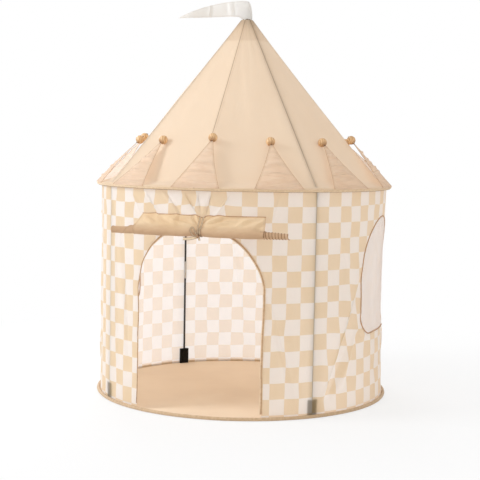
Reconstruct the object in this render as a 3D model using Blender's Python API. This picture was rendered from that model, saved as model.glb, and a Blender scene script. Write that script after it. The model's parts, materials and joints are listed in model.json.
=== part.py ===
"""Round play tent: check-patterned walls, pointed roof, pole frame, crown of flaps, rolled door.

Metres, +Z up. The origin is the middle of the floor sheet's underside.
The door faces -Y. An angle about the tent's axis is zero there and grows towards +X.
"""
import math

import bmesh
import bpy
from mathutils import Vector

# Gaps and stock
CLEAR = 0.0003               # gap between neighbouring pieces
CLOTH = 0.0015               # thickness of every sewn cloth
SEGMENTS = 48                # facets once round the tent, a multiple of 24
ROUND = 10                   # facets of poles and sockets

# Base ring and floor
BASE_RING_RADIUS = 0.5435    # centre line of the hem that holds the floor hoop
BASE_HEM_RADIUS = 0.0065
HOOP_RADIUS = 0.0035         # springy rod in each hem
HOOP_SIDES = 6
HEM_SIDES = 8

# Wall
EAVES_HEIGHT = 0.783         # centre line of the eaves hem
WALL_WAIST = 0.010           # how far the cloth pulls in, mid height, between poles
WALL_ROWS = 7

# Eaves ring
EAVES_OVERHANG = 0.0118      # eaves hem centre, out from the wall's outer face
EAVES_HEM_RADIUS = 0.006
EAVES_HEM_SIDES = 6

# Roof
ROOF_INSET = 0.0085          # the roof cone's foot, in from the eaves hem centre
APEX_HEIGHT = 1.398
APEX_RADIUS = 0.022
ROOF_SAG = 0.006             # how far the cloth sinks, mid slope, between poles
GORE = math.pi / 4           # angle that one sewn piece of the roof spans
GORE_FLATNESS = 0.9          # from 0 for a round roof to 1 for flat gores
GORE_FLAT_SHARE = 0.07       # round at the eaves, flat from this share of the slope
GORE_ROUND_SHARE = 0.1       # and round again towards the opening at the apex
ROOF_ROWS = 11
ROOF_ROW_GROWTH = 1.6        # rows lie closer together near the eaves

# Poles and their joints
POLE_ANGLES = (45.0, 135.0, 225.0, 315.0)
POLE_RADIUS = 0.004
SOCKET_RADIUS = 0.0065       # outside of elbow and hub sockets
SOCKET_GAP = 0.0008          # between a socket and the cloth over it
FERRULE_RADIUS = 0.0055
FERRULE_BOTTOM = 0.364
FERRULE_LENGTH = 0.072
ELBOW_LEG = 0.030
SOCKET_DEPTH = 0.021
ELBOW_BEND = 0.006           # where the elbow starts to turn, before its corner
HUB_ARM_RADIUS = 0.012       # the hub's arms start here, from the axis
HUB_ARM_LENGTH = 0.044
HUB_RADIUS = 0.016
HUB_HEIGHT = 0.040
HUB_SIDES = 12               # facets of the hub, its peg and the pennant's hood
PEG_RADIUS = 0.0045
PEG_HEIGHT = 0.032           # top of the pennant's peg, above the roof's opening
POCKET_WIDTH = 0.040
POCKET_HEIGHT = 0.062
POCKET_WALL = 0.0015
POCKET_SOLE = 0.003

# Door
DOOR_HALF_WIDTH = 0.235      # along the wall
DOOR_SPRING = 0.430          # height at which the arch starts
DOOR_RISE = 0.226
BINDING_RADIUS = 0.003
CURTAIN_RISE = 0.037         # seam that the rolled curtain hangs from, above the arch
CURTAIN_HALF_ANGLE = 22.5    # of the seam, about the tent's axis
CURTAIN_FOOT = 0.235         # half width of the hanging cloth where it meets the roll
CURTAIN_FOLD = 0.0025
ROLL_DROP = 0.053            # roll centre below the seam
ROLL_REACH = 0.023           # roll centre out from the seam
ROLL_RADIUS = 0.019
ROLL_END_RADIUS = 0.014      # the slimmer left end
ROLL_LEFT = -0.296
ROLL_RIGHT = 0.337
ROLL_SIDES = 12
WOUND_LENGTH = 0.078         # right end, where the bound edge winds round
WOUND_PITCH = 0.010
WOUND_HEIGHT = 0.0015
TIE_PLACE = 0.025
TIE_WIDTH = 0.012
KNOT_RADIUS = 0.0085
TIE_TAIL = 0.050
TIE_TAIL_DROP = 0.012

# Windows
WINDOW_ANGLES = {"window_right": 90.0, "window_left": 270.0}
WINDOW_HALF_WIDTH = 0.188    # along the wall
WINDOW_BOTTOM = 0.263
WINDOW_SPRING = 0.475
WINDOW_RISE = 0.208
WINDOW_CORNER = 0.075

# Crown of flaps
FLAP_COUNT = 12
FLAP_HALF_WIDTH = 0.085
FLAP_LENGTH = 0.208
FLAP_TIP = 0.004             # half width where the ball is
FLAP_BEND = 0.9              # share of the ring's roundness that the flap takes
FLAP_WAVE = 0.0015           # creases across the flap
FLAP_LEANS = {0: 0.014, 1: 0.003, 2: 0.007, 11: 0.006}      # sideways shift of a tip
HINGE_DROP = 0.0018          # hinge line below the top of the eaves hem
BALL_RADIUS = 0.016
BALL_RINGS = 7               # steps from one drilled flat to the other

# Pennant
PENNANT_HEADING = -72.0
HOOD_RADIUS = 0.0205
HOOD_FOOT = 0.0035           # above the roof's opening
HOOD_HEIGHT = 0.066
HOOD_SHAPE = ((0.0, 1.0), (0.3, 0.95), (0.62, 0.62), (0.8, 0.36), (1.0, 0.1))   # shares of both
TAIL_LENGTH = 0.257
TAIL_ROOT_HEIGHT = 0.056
TAIL_ROOT_RISE = 0.0425      # middle of the tail's root, above the roof's opening
TAIL_DROOP = 0.039
TAIL_THICKNESS = 0.005
TAIL_SWAY = 0.005

# What follows from the sizes above
WALL_OUTER = BASE_RING_RADIUS - BASE_HEM_RADIUS - CLEAR
WALL_INNER = WALL_OUTER - CLOTH
WALL_FOOT = CLOTH + CLEAR
WALL_TOP = EAVES_HEIGHT - CLOTH / 2 - CLEAR
EAVES_RING_RADIUS = WALL_OUTER + EAVES_OVERHANG
ROOF_FOOT_RADIUS = EAVES_RING_RADIUS - ROOF_INSET
ROOF_SLOPE = math.atan2(APEX_HEIGHT - EAVES_HEIGHT, ROOF_FOOT_RADIUS - APEX_RADIUS)
POLE_CIRCLE = WALL_INNER - SOCKET_GAP - SOCKET_RADIUS
BORE_RADIUS = (POLE_RADIUS + CLEAR) / math.cos(math.pi / ROUND)
FERRULE_TOP = FERRULE_BOTTOM + FERRULE_LENGTH
CURTAIN_HEIGHT = DOOR_SPRING + DOOR_RISE + CURTAIN_RISE

# Linear base colour, roughness, metallic
TAN = ((0.78, 0.57, 0.36), 0.85, 0.0)
CHECK = ((0.84, 0.70, 0.54), 0.85, 0.0)
FLOOR_TAN = ((0.74, 0.50, 0.29), 0.8, 0.0)
BINDING = ((0.55, 0.35, 0.19), 0.8, 0.0)
BLUSH = ((0.74, 0.53, 0.40), 0.85, 0.0)
MESH_WHITE = ((0.86, 0.85, 0.82), 0.9, 0.0)
OFF_WHITE = ((0.86, 0.85, 0.82), 0.9, 0.0)
BLACK = ((0.02, 0.02, 0.02), 0.4, 0.0)
GLASS_FIBRE = ((0.62, 0.60, 0.52), 0.5, 0.0)
BEECH = ((0.60, 0.36, 0.17), 0.5, 0.0)


def polar(radius, angle, height):
    """Point at an angle in radians about the tent's axis."""
    return Vector((radius * math.sin(angle), -radius * math.cos(angle), height))


def ring_angle(index):
    """Angle of one of the corners that all rings share."""
    return 2 * math.pi * index / SEGMENTS


def facet_radius(radius, angle):
    """Distance from the axis to the flat facet of a ring at an angle."""
    half = math.pi / SEGMENTS
    return radius * math.cos(half) / math.cos((angle % (2 * half)) - half)


def between_poles(angle):
    """One midway between two poles, nothing at a pole."""
    return math.cos(2 * angle) ** 2


def wall_radius(angle, height):
    """Outer face of the wall, which pulls in between the poles."""
    waist = math.sin(math.pi * (height - WALL_FOOT) / (WALL_TOP - WALL_FOOT))
    return WALL_OUTER - WALL_WAIST * waist * between_poles(angle)


def roof_line(share, depth):
    """Radius and height on the straight roof line, or below it by depth."""
    radius = ROOF_FOOT_RADIUS + (APEX_RADIUS - ROOF_FOOT_RADIUS) * share
    height = EAVES_HEIGHT + (APEX_HEIGHT - EAVES_HEIGHT) * share
    return radius - depth * math.sin(ROOF_SLOPE), height - depth * math.cos(ROOF_SLOPE)


def roof_line_share(radius, depth):
    """Where on the roof line a radius is reached."""
    foot = roof_line(0.0, depth)[0]
    return (foot - radius) / (ROOF_FOOT_RADIUS - APEX_RADIUS)


def soft_step(value):
    """Rises softly from 0 at 0 to 1 at 1."""
    value = min(max(value, 0.0), 1.0)
    return value * value * (3 - 2 * value)


def gore_depth(angle, share):
    """How far a gore's cloth lies under the round roof between its two seams."""
    off = angle % GORE - GORE / 2
    chord = roof_line(share, 0.0)[0] * (1 - math.cos(GORE / 2) / math.cos(off))
    flatness = soft_step(share / GORE_FLAT_SHARE) * soft_step((1 - share) / GORE_ROUND_SHARE)
    return GORE_FLATNESS * flatness * chord * math.sin(ROOF_SLOPE)


def roof_point(angle, share, depth=0.0):
    """Point on the roof cloth's outer face, or below it by depth."""
    sag = ROOF_SAG * 4 * share * (1 - share) * between_poles(angle)
    radius, height = roof_line(share, depth + sag + gore_depth(angle, share))
    return polar(radius, angle, height)


def shading(name, look):
    """Plain material from a linear colour, a roughness and a metallic value."""
    colour, roughness, metallic = look
    material = bpy.data.materials.new(name)
    material.use_nodes = True
    shader = material.node_tree.nodes["Principled BSDF"]
    shader.inputs["Base Color"].default_value = (*colour, 1.0)
    shader.inputs["Roughness"].default_value = roughness
    shader.inputs["Metallic"].default_value = metallic
    return material


def add_object(name, vertices, faces, look, parent=None):
    """Closed mesh with outward faces as a named object."""
    mesh = bpy.data.meshes.new(name)
    mesh.from_pydata([tuple(vertex) for vertex in vertices], [], faces)
    shell = bmesh.new()
    shell.from_mesh(mesh)
    bmesh.ops.recalc_face_normals(shell, faces=shell.faces)
    shell.to_mesh(mesh)
    shell.free()
    mesh.shade_smooth()
    mesh.set_sharp_from_angle(angle=math.radians(35))
    mesh.materials.append(shading(name, look))
    item = bpy.data.objects.new(name, mesh)
    bpy.context.scene.collection.objects.link(item)
    item.parent = parent
    return item


def add_empty(name, location, rotation=(0.0, 0.0, 0.0)):
    """Empty that marks a joint's axis and carries what turns there."""
    marker = bpy.data.objects.new(name, None)
    marker.location = location
    marker.rotation_euler = rotation
    marker.empty_display_size = 0.05
    bpy.context.scene.collection.objects.link(marker)
    return marker


def slab(outer, inner, ring=False):
    """Skin between two grids of points; ring joins the last column to the first."""
    rows, columns = len(outer), len(outer[0])
    vertices = [point for grid in (outer, inner) for row in grid for point in row]

    def index(side, row, column):
        return (side * rows + row) * columns + column % columns

    faces = []
    spans = columns if ring else columns - 1
    for column in range(spans):
        for row in range(rows - 1):
            corners = ((row, column), (row, column + 1), (row + 1, column + 1), (row + 1, column))
            faces.append([index(0, *corner) for corner in corners])
            faces.append([index(1, *corner) for corner in reversed(corners)])
        for row in (0, rows - 1):
            faces.append([index(0, row, column), index(1, row, column),
                          index(1, row, column + 1), index(0, row, column + 1)])
    if not ring:
        for row in range(rows - 1):
            for column in (0, columns - 1):
                faces.append([index(0, row, column), index(0, row + 1, column),
                              index(1, row + 1, column), index(1, row, column)])
    return vertices, faces


def loft(loops):
    """Skin over closed loops of equal count, with the first and last one filled."""
    count = len(loops[0])
    vertices = [point for loop in loops for point in loop]
    faces = [list(range(count)), list(range(len(vertices) - count, len(vertices)))]
    for step in range(len(loops) - 1):
        for side in range(count):
            following = (side + 1) % count
            faces.append([step * count + side, step * count + following,
                          (step + 1) * count + following, (step + 1) * count + side])
    return vertices, faces


def circle(centre, direction, side, radius, count=ROUND):
    """Loop of points round a direction, starting half a facet past the side vector."""
    across = direction.normalized().cross(side)
    loop = []
    for step in range(count):
        turn = 2 * math.pi * (step + 0.5) / count
        loop.append(centre + radius * (math.cos(turn) * side + math.sin(turn) * across))
    return loop


def turned(profile, count):
    """Loops of a shape turned about the tent's axis, from radius and height pairs."""
    up, side = Vector((0, 0, 1)), Vector((1, 0, 0))
    return [circle(up * height, up, side, radius, count) for radius, height in profile]


def helper(name, vertices, faces):
    """Guide mesh that cuts or joins another piece and isn't part of the tent."""
    guide = add_object(name, vertices, faces, BLACK)
    guide.hide_render = True
    guide.display_type = "WIRE"
    return guide


def boolean(item, guide, operation, solver="EXACT"):
    """Cut, join or intersect a piece with a guide."""
    modifier = item.modifiers.new(guide.name, "BOOLEAN")
    modifier.operation = operation
    modifier.solver = solver
    modifier.object = guide


def section(sides, radius):
    """Corners of a polygon whose flats lie at a radius, as radial and height offsets."""
    corner = radius / math.cos(math.pi / sides)
    turns = [2 * math.pi * (step + 0.5) / sides for step in range(sides)]
    return [(corner * math.cos(turn), corner * math.sin(turn)) for turn in turns]


def hem(outline, bore, radius, height):
    """Tube round the tent, open over one facet at the back so that the hoop can go in."""
    first = SEGMENTS // 2 + 2
    grids = []
    for loop in (outline, bore):
        grid = []
        for index in range(first, first + SEGMENTS):
            angle = ring_angle(index)
            grid.append([polar(radius + out, angle, height + up) for out, up in loop])
        grids.append(grid)
    return slab(*grids, ring=True)


def build_floor():
    """Floor sheet inside the base hem, the hem with its floor hoop."""
    flat = BASE_HEM_RADIUS * math.tan(math.pi / HEM_SIDES)
    edge = BASE_RING_RADIUS - flat - CLOTH - CLEAR
    loops = [[polar(edge, ring_angle(index), height) for index in range(SEGMENTS)]
             for height in (0.0, CLOTH)]
    add_object("floor_sheet", *loft(loops), FLOOR_TAN)
    bore = section(HEM_SIDES, HOOP_RADIUS + CLEAR)
    outline = section(HEM_SIDES, BASE_HEM_RADIUS)
    shell = hem(outline, bore, BASE_RING_RADIUS, BASE_HEM_RADIUS)
    add_object("base_hem", *shell, BINDING)
    build_hoop("base_hoop", BASE_RING_RADIUS, BASE_HEM_RADIUS)


def build_hoop(name, radius, height):
    """Springy rod bent to a ring, inside its hem."""
    loop = section(HOOP_SIDES, HOOP_RADIUS * math.cos(math.pi / HOOP_SIDES))
    rings = []
    for index in range(SEGMENTS):
        rings.append([polar(radius + out, ring_angle(index), height + up) for out, up in loop])
    vertices = [point for ring in rings for point in ring]
    faces = []
    for index in range(SEGMENTS):
        for side in range(HOOP_SIDES):
            first, second = index * HOOP_SIDES, (index + 1) % SEGMENTS * HOOP_SIDES
            following = (side + 1) % HOOP_SIDES
            faces.append([first + side, first + following, second + following, second + side])
    add_object(name, vertices, faces, GLASS_FIBRE)


def build_eaves():
    """Hem round the top of the wall, with the seam tab that the wall hangs from."""
    corners = section(EAVES_HEM_SIDES, EAVES_HEM_RADIUS)
    half = EAVES_HEM_SIDES // 2
    reach = WALL_INNER - EAVES_RING_RADIUS
    tab = [(-EAVES_HEM_RADIUS, CLOTH / 2), (reach, CLOTH / 2),
           (reach, -CLOTH / 2), (-EAVES_HEM_RADIUS, -CLOTH / 2)]
    outline = corners[:half] + tab + corners[half:]
    bore = section(len(outline), HOOP_RADIUS + CLEAR)
    add_object("eaves_hem", *hem(outline, bore, EAVES_RING_RADIUS, EAVES_HEIGHT), BINDING)
    build_hoop("eaves_hoop", EAVES_RING_RADIUS, EAVES_HEIGHT)


def wall_grid(first, last, depth):
    """Points of a wall panel between two ring corners, seams pulled back by half a gap."""
    grid = []
    for row in range(WALL_ROWS + 1):
        height = WALL_FOOT + (WALL_TOP - WALL_FOOT) * row / WALL_ROWS
        line = []
        for index in range(first, last + 1):
            angle = ring_angle(index)
            line.append(polar(wall_radius(angle, height) - depth, angle, height))
        for end, inward in ((0, 1), (-1, -2)):
            step = (line[inward] - line[end]).normalized()
            line[end] = line[end] + step * CLEAR / 2
        grid.append(line)
    return grid


def wall_panel(centre):
    """Skin of the panel whose middle is at an angle in degrees."""
    quarter = SEGMENTS // 4
    first = round(centre / 360 * SEGMENTS) - quarter // 2
    return slab(wall_grid(first, first + quarter, 0.0), wall_grid(first, first + quarter, CLOTH))


def arch_outline(half_width, bottom, spring, rise, corner, inset=0.0):
    """Outline on the unrolled wall: rounded foot, straight sides and a half ellipse on top."""
    points = []
    for centre, start in ((-1, math.pi), (1, 1.5 * math.pi)):
        for step in range(4):
            turn = start + step * math.pi / 6
            radius = max(corner - inset, 0.0)
            across = centre * (half_width - max(corner, inset)) + radius * math.cos(turn)
            points.append((across, bottom + max(corner, inset) + radius * math.sin(turn)))
        if corner == 0.0:
            del points[-3:]
    for step in range(13):
        turn = math.pi * step / 12
        points.append(((half_width - inset) * math.cos(turn), spring + (rise - inset) * math.sin(turn)))
    return points


def on_wall(across, height, centre, depth=CLOTH / 2):
    """Point in the wall's thickness, from the distance along the wall."""
    angle = centre + across / WALL_OUTER
    radius = facet_radius(wall_radius(angle, height), angle) - depth
    return polar(radius, angle, height)


def arch_prism(outline, centre):
    """Straight cutter through the wall at an angle, from an outline on the unrolled wall."""
    outward = polar(1.0, centre, 0.0)
    side = polar(1.0, centre + math.pi / 2, 0.0)
    loops = []
    for distance in (WALL_OUTER * 0.6, WALL_OUTER * 1.2):
        loop = []
        for across, height in outline:
            place = WALL_OUTER * math.sin(across / WALL_OUTER) * side + distance * outward
            loop.append(place + Vector((0, 0, height)))
        loops.append(loop)
    return loft(loops)


def binding_loops(path, closed):
    """Small tube along points on the wall."""
    loops = []
    count = len(path)
    for index, point in enumerate(path):
        before = path[(index - 1) % count] if closed or index > 0 else point
        after = path[(index + 1) % count] if closed or index < count - 1 else point
        along = (after - before).normalized()
        outward = Vector((point.x, point.y, 0.0)).normalized()
        side = (outward - along * outward.dot(along)).normalized()
        loops.append(circle(point, along, side, BINDING_RADIUS, 6))
    return loops


def closed_tube(loops):
    """Skin over loops that run round and meet their start."""
    vertices, faces = loft(loops)
    count = len(loops[0])
    faces = faces[2:]
    last = len(vertices) - count
    for side in range(count):
        following = (side + 1) % count
        faces.append([last + side, last + following, following, side])
    return vertices, faces


def build_walls():
    """Four wall panels: door in front, a window at each side, plain at the back."""
    for name, centre in (("wall_front", 0.0), ("wall_right", 90.0),
                         ("wall_back", 180.0), ("wall_left", 270.0)):
        add_object(name, *wall_panel(centre), CHECK)
    front = bpy.data.objects["wall_front"]
    outline = arch_outline(DOOR_HALF_WIDTH, -CLOTH, DOOR_SPRING, DOOR_RISE, 0.0)
    boolean(front, helper("door_cutter", *arch_prism(outline, 0.0)), "DIFFERENCE")
    foot = 2 * BASE_HEM_RADIUS + CLEAR + BINDING_RADIUS
    path = [(across, height) for across, height in outline if height >= DOOR_SPRING]
    path = [(DOOR_HALF_WIDTH, foot)] + path + [(-DOOR_HALF_WIDTH, foot)]
    edge = [on_wall(across, height, 0.0) for across, height in path]
    boolean(front, helper("door_binding", *loft(binding_loops(edge, False))), "UNION")


def build_windows():
    """Mesh panes with their bound edges, in the side walls."""
    sizes = (WINDOW_HALF_WIDTH, WINDOW_BOTTOM, WINDOW_SPRING, WINDOW_RISE, WINDOW_CORNER)
    for name, degrees in WINDOW_ANGLES.items():
        centre = math.radians(degrees)
        wall = bpy.data.objects[name.replace("window", "wall")]
        hole = helper(name + "_cutter", *arch_prism(arch_outline(*sizes), centre))
        boolean(wall, hole, "DIFFERENCE")
        pane = add_object(name, *wall_panel(degrees), MESH_WHITE)
        inset = arch_outline(*sizes, inset=CLEAR + BINDING_RADIUS)
        boolean(pane, helper(name + "_pane", *arch_prism(inset, centre)), "INTERSECT")
        edge = [on_wall(across, height, centre) for across, height in inset]
        rim = helper(name + "_rim", *closed_tube(binding_loops(edge, True)))
        boolean(pane, rim, "UNION", "MANIFOLD")


def build_roof():
    """Roof cloth from the top of the eaves hem to the opening at the apex."""
    hem_top = EAVES_HEIGHT + EAVES_HEM_RADIUS / math.cos(math.pi / EAVES_HEM_SIDES) + CLEAR
    start = (hem_top + 2 * CLOTH - EAVES_HEIGHT) / (APEX_HEIGHT - EAVES_HEIGHT)
    grids = []
    for depth in (0.0, CLOTH):
        grid = [[polar(EAVES_RING_RADIUS, ring_angle(index), hem_top + CLOTH - depth)
                 for index in range(SEGMENTS)]]
        for row in range(ROOF_ROWS):
            share = start + (1 - start) * (row / (ROOF_ROWS - 1)) ** ROOF_ROW_GROWTH
            grid.append([roof_point(ring_angle(index), share, depth) for index in range(SEGMENTS)])
        grids.append(grid)
    add_object("roof_canopy", *slab(*grids, ring=True), TAN)


def pole_frame(angle):
    """Side vector and the axis depth under the roof's outer face, for the poles at an angle."""
    side = polar(1.0, angle + math.pi / 2, 0.0)
    return side, CLOTH + SOCKET_GAP + SOCKET_RADIUS


def build_pole_set(number, degrees):
    """One leg of the frame: pocket, lower and upper wall pole, elbow and roof pole."""
    angle = math.radians(degrees)
    side, depth = pole_frame(angle)
    up = Vector((0, 0, 1))
    foot = polar(POLE_CIRCLE, angle, 0.0)
    share = roof_line_share(POLE_CIRCLE, depth)
    corner = polar(POLE_CIRCLE, angle, roof_line(share, depth)[1])
    slope = polar(-math.cos(ROOF_SLOPE), angle, math.sin(ROOF_SLOPE))

    build_pocket(number, angle)
    sole = WALL_FOOT + POCKET_SOLE + CLEAR
    middle = (FERRULE_BOTTOM + FERRULE_TOP) / 2
    lower = [(POLE_RADIUS, sole), (POLE_RADIUS, FERRULE_BOTTOM), (FERRULE_RADIUS, FERRULE_BOTTOM),
             (FERRULE_RADIUS, FERRULE_TOP), (BORE_RADIUS, FERRULE_TOP), (BORE_RADIUS, middle)]
    loops = [circle(foot + up * height, up, side, radius) for radius, height in lower]
    add_object(f"wall_pole_lower_{number}", *loft(loops), BLACK)

    socket_mouth = corner.z - ELBOW_LEG
    pole_top = socket_mouth + SOCKET_DEPTH - CLEAR
    loops = [circle(foot + up * height, up, side, POLE_RADIUS)
             for height in (middle + CLEAR, pole_top)]
    add_object(f"wall_pole_upper_{number}", *loft(loops), BLACK)

    loops = [circle(foot + up * (socket_mouth + SOCKET_DEPTH), up, side, BORE_RADIUS),
             circle(foot + up * socket_mouth, up, side, BORE_RADIUS),
             circle(foot + up * socket_mouth, up, side, SOCKET_RADIUS)]
    for step in range(4):
        part = step / 3
        start, end = corner - up * ELBOW_BEND, corner + slope * ELBOW_BEND
        centre = start * (1 - part) ** 2 + corner * 2 * part * (1 - part) + end * part ** 2
        along = (corner - start) * (1 - part) + (end - corner) * part
        loops.append(circle(centre, along, side, SOCKET_RADIUS))
    mouth = corner + slope * ELBOW_LEG
    loops += [circle(mouth, slope, side, SOCKET_RADIUS), circle(mouth, slope, side, BORE_RADIUS),
              circle(mouth - slope * SOCKET_DEPTH, slope, side, BORE_RADIUS)]
    add_object(f"eaves_elbow_{number}", *loft(loops), BLACK)

    hub_end = hub_arm_points(angle)[1]
    ends = (mouth - slope * (SOCKET_DEPTH - CLEAR), hub_end + slope * (SOCKET_DEPTH - CLEAR))
    loops = [circle(end, slope, side, POLE_RADIUS) for end in ends]
    add_object(f"roof_pole_{number}", *loft(loops), BLACK)


def hub_arm_points(angle):
    """Start of a hub arm near the axis, and its open end."""
    depth = pole_frame(angle)[1]
    radius, height = roof_line(roof_line_share(HUB_ARM_RADIUS, depth), depth)
    start = polar(radius, angle, height)
    return start, start - polar(-math.cos(ROOF_SLOPE), angle, math.sin(ROOF_SLOPE)) * HUB_ARM_LENGTH


def build_pocket(number, angle):
    """Foot pocket on the floor sheet, with the pole's blind bore."""
    side, outward = pole_frame(angle)[0], polar(1.0, angle, 0.0)
    foot = polar(POLE_CIRCLE, angle, 0.0)
    half = POCKET_WIDTH / 2
    facet_drop = half * math.tan(math.pi / SEGMENTS)
    back = WALL_INNER - facet_drop - CLEAR - POLE_CIRCLE
    front = -(BORE_RADIUS + POCKET_WALL)
    chamfer = POCKET_WALL
    corners = [(half, chamfer + front), (half, back - chamfer), (half - chamfer, back),
               (chamfer - half, back), (-half, back - chamfer), (-half, chamfer + front),
               (chamfer - half, front), (half - chamfer, front)]
    low, high = WALL_FOOT, WALL_FOOT + POCKET_HEIGHT
    bore = (POLE_RADIUS + CLEAR) / math.cos(math.pi / 8)
    turns = [math.pi * (index + 0.5) / 4 - math.pi / 4 for index in range(8)]
    loops = []
    for height in (low + POCKET_SOLE, high):
        loops.append([foot + side * bore * math.cos(turn) + outward * bore * math.sin(turn)
                      + Vector((0, 0, height)) for turn in turns])
    for height in (high, low):
        loops.append([foot + side * across + outward * out + Vector((0, 0, height))
                      for across, out in corners])
    add_object(f"pole_pocket_{number}", *loft(loops), BLACK)


def build_hub():
    """Moulded hub under the apex: four sockets and the peg that the pennant turns on."""
    peg_top = APEX_HEIGHT + PEG_HEIGHT
    shoulder = APEX_HEIGHT - 4 * CLOTH
    profile = [(HUB_RADIUS, shoulder - HUB_HEIGHT), (HUB_RADIUS, shoulder),
               (PEG_RADIUS, APEX_HEIGHT), (PEG_RADIUS, peg_top)]
    hub = add_object("top_hub", *loft(turned(profile, HUB_SIDES)), BLACK)
    for number, degrees in enumerate(POLE_ANGLES, 1):
        angle = math.radians(degrees)
        side = pole_frame(angle)[0]
        start, end = hub_arm_points(angle)
        down = (end - start).normalized()
        loops = [circle(start, down, side, SOCKET_RADIUS), circle(end, down, side, SOCKET_RADIUS),
                 circle(end, down, side, BORE_RADIUS),
                 circle(end - down * SOCKET_DEPTH, down, side, BORE_RADIUS)]
        boolean(hub, helper(f"hub_arm_{number}", *loft(loops)), "UNION")


def curtain_frame():
    """Seam line's distance in front of the axis, and the roll's centre behind it."""
    seam = wall_radius(0.0, CURTAIN_HEIGHT) + CLEAR + CLOTH / 2
    return seam, Vector((0.0, -seam - ROLL_REACH, CURTAIN_HEIGHT - ROLL_DROP))


def roll_turn(step):
    """Turn of a corner of the roll's cross-section, from the back over the top."""
    return 2 * math.pi * (step + 0.5) / ROLL_SIDES


def roll_radius(across, turn):
    """Radius of the rolled cloth: slimmer at the left, wound binding at the right end."""
    wound = ROLL_RIGHT - WOUND_LENGTH
    if across > wound:
        phase = 2 * math.pi * (across - wound) / WOUND_PITCH - turn
        return ROLL_RADIUS - WOUND_HEIGHT * (1 - math.cos(phase)) / 2
    slim = (wound - across) / (wound - ROLL_LEFT)
    return ROLL_RADIUS - (ROLL_RADIUS - ROLL_END_RADIUS) * slim ** 4


def build_curtain():
    """Door curtain: the cloth that hangs from its seam, and the roll it is wound into."""
    seam, centre = curtain_frame()
    hinge = add_empty("door_roll_hinge", (0.0, -seam, CURTAIN_HEIGHT))
    wound = ROLL_RIGHT - WOUND_LENGTH
    stations = [ROLL_LEFT + (wound - ROLL_LEFT) * step / 6 for step in range(7)]
    turns_wound = round(WOUND_LENGTH / WOUND_PITCH * 3)
    stations += [wound + WOUND_LENGTH * (step + 1) / turns_wound for step in range(turns_wound)]
    loops = []
    for across in stations:
        loop = []
        for step in range(ROLL_SIDES):
            turn = roll_turn(step)
            radius = roll_radius(across, turn)
            place = centre + Vector((across, radius * math.cos(turn), radius * math.sin(turn)))
            loop.append(place - hinge.location)
        loops.append(loop)
    roll = add_object("door_curtain", *loft(loops), TAN, parent=hinge)

    columns = max(2, round(2 * math.radians(CURTAIN_HALF_ANGLE) / ring_angle(1)))
    foot_height = centre.z + ROLL_RADIUS / 2
    grids = []
    for side in (-0.5, 0.5):
        grid = []
        for row in range(3):
            share = row / 2
            line = []
            for column in range(columns + 1):
                part = 2 * column / columns - 1
                angle = part * math.radians(CURTAIN_HALF_ANGLE)
                top = polar(wall_radius(angle, CURTAIN_HEIGHT) + CLEAR + CLOTH / 2, angle, CURTAIN_HEIGHT)
                foot = Vector((part * CURTAIN_FOOT, centre.y + ROLL_REACH / 6, foot_height))
                point = top.lerp(foot, share)
                fold = CURTAIN_FOLD * share * (1 - share) * 4 * (column % 2)
                point.y += side * CLOTH - fold
                line.append(point - hinge.location)
            grid.append(line)
        grids.append(grid)
    web = helper("curtain_web", *slab(*grids))
    web.parent = hinge
    boolean(roll, web, "UNION", "MANIFOLD")
    build_tie(hinge, seam, centre)


def build_tie(hinge, seam, centre):
    """Ribbon that holds the roll: a strand down the front, round the roll, knot and tails."""
    offset = CLOTH / 2 + CLEAR
    radius = ROLL_RADIUS + offset / math.cos(math.pi / ROLL_SIDES)
    hang = Vector((0.0, -seam, CURTAIN_HEIGHT)) - centre
    lean = hang.normalized()
    front = Vector((0.0, -lean.z, lean.y))
    reach = CLOTH + CLEAR + CURTAIN_FOLD
    path = [centre + hang * 0.92 + front * reach]
    for step in range(3, ROLL_SIDES + 1):
        turn = roll_turn(step)
        path.append(centre + Vector((0.0, radius * math.cos(turn), radius * math.sin(turn))))
    grids = []
    for side in (-0.5, 0.5):
        grid = []
        for index, point in enumerate(path):
            before, after = path[max(index - 1, 0)], path[min(index + 1, len(path) - 1)]
            along = (after - before).normalized()
            normal = Vector((0.0, along.z, -along.y))
            edge = point + normal * side * CLOTH - hinge.location
            grid.append([edge + Vector((TIE_PLACE + half * TIE_WIDTH, 0.0, 0.0))
                         for half in (-0.5, 0.5)])
        grids.append(grid)
    tie = add_object("door_tie", *slab(*grids), BLUSH, parent=hinge)

    turn = roll_turn(round(ROLL_SIDES * 0.62))
    reach = ROLL_RADIUS + CLEAR + KNOT_RADIUS
    knot = centre + Vector((TIE_PLACE, reach * math.cos(turn), reach * math.sin(turn)))
    knot -= hinge.location
    ball = [(math.sin(math.pi * step / 6), -math.cos(math.pi * step / 6)) for step in range(1, 6)]
    loops = [circle(knot + Vector((0, 0, KNOT_RADIUS * rise)), Vector((0, 0, 1)), Vector((1, 0, 0)),
                    KNOT_RADIUS * wide, 8) for wide, rise in ball]
    boolean(tie, tie_helper("tie_knot", loft(loops), hinge), "UNION")
    for number, swing in enumerate((-1.0, -0.35)):
        run = []
        for step in range(5):
            share = step / 4
            drop = TIE_TAIL_DROP * share ** 1.5 * (1.4 + swing * 0.4)
            run.append(knot + Vector((TIE_TAIL * share * swing, -KNOT_RADIUS * share / 2, -drop)))
        half = Vector((0.0, 0.0, TIE_WIDTH / 3))
        thick = Vector((0.0, CLOTH / 2, 0.0))
        grids = [[[point + thick * side + half, point + thick * side - half] for point in run]
                 for side in (-1, 1)]
        boolean(tie, tie_helper(f"tie_tail_{number}", slab(*grids), hinge), "UNION")


def tie_helper(name, shell, hinge):
    """Guide mesh that hangs with the roll."""
    guide = helper(name, *shell)
    guide.parent = hinge
    return guide


def ball_seat():
    """Distance from a flap's tip to its ball's centre; the flat round the hole meets the tip."""
    return CLEAR + BALL_RADIUS * math.cos(math.pi / BALL_RINGS)


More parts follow.
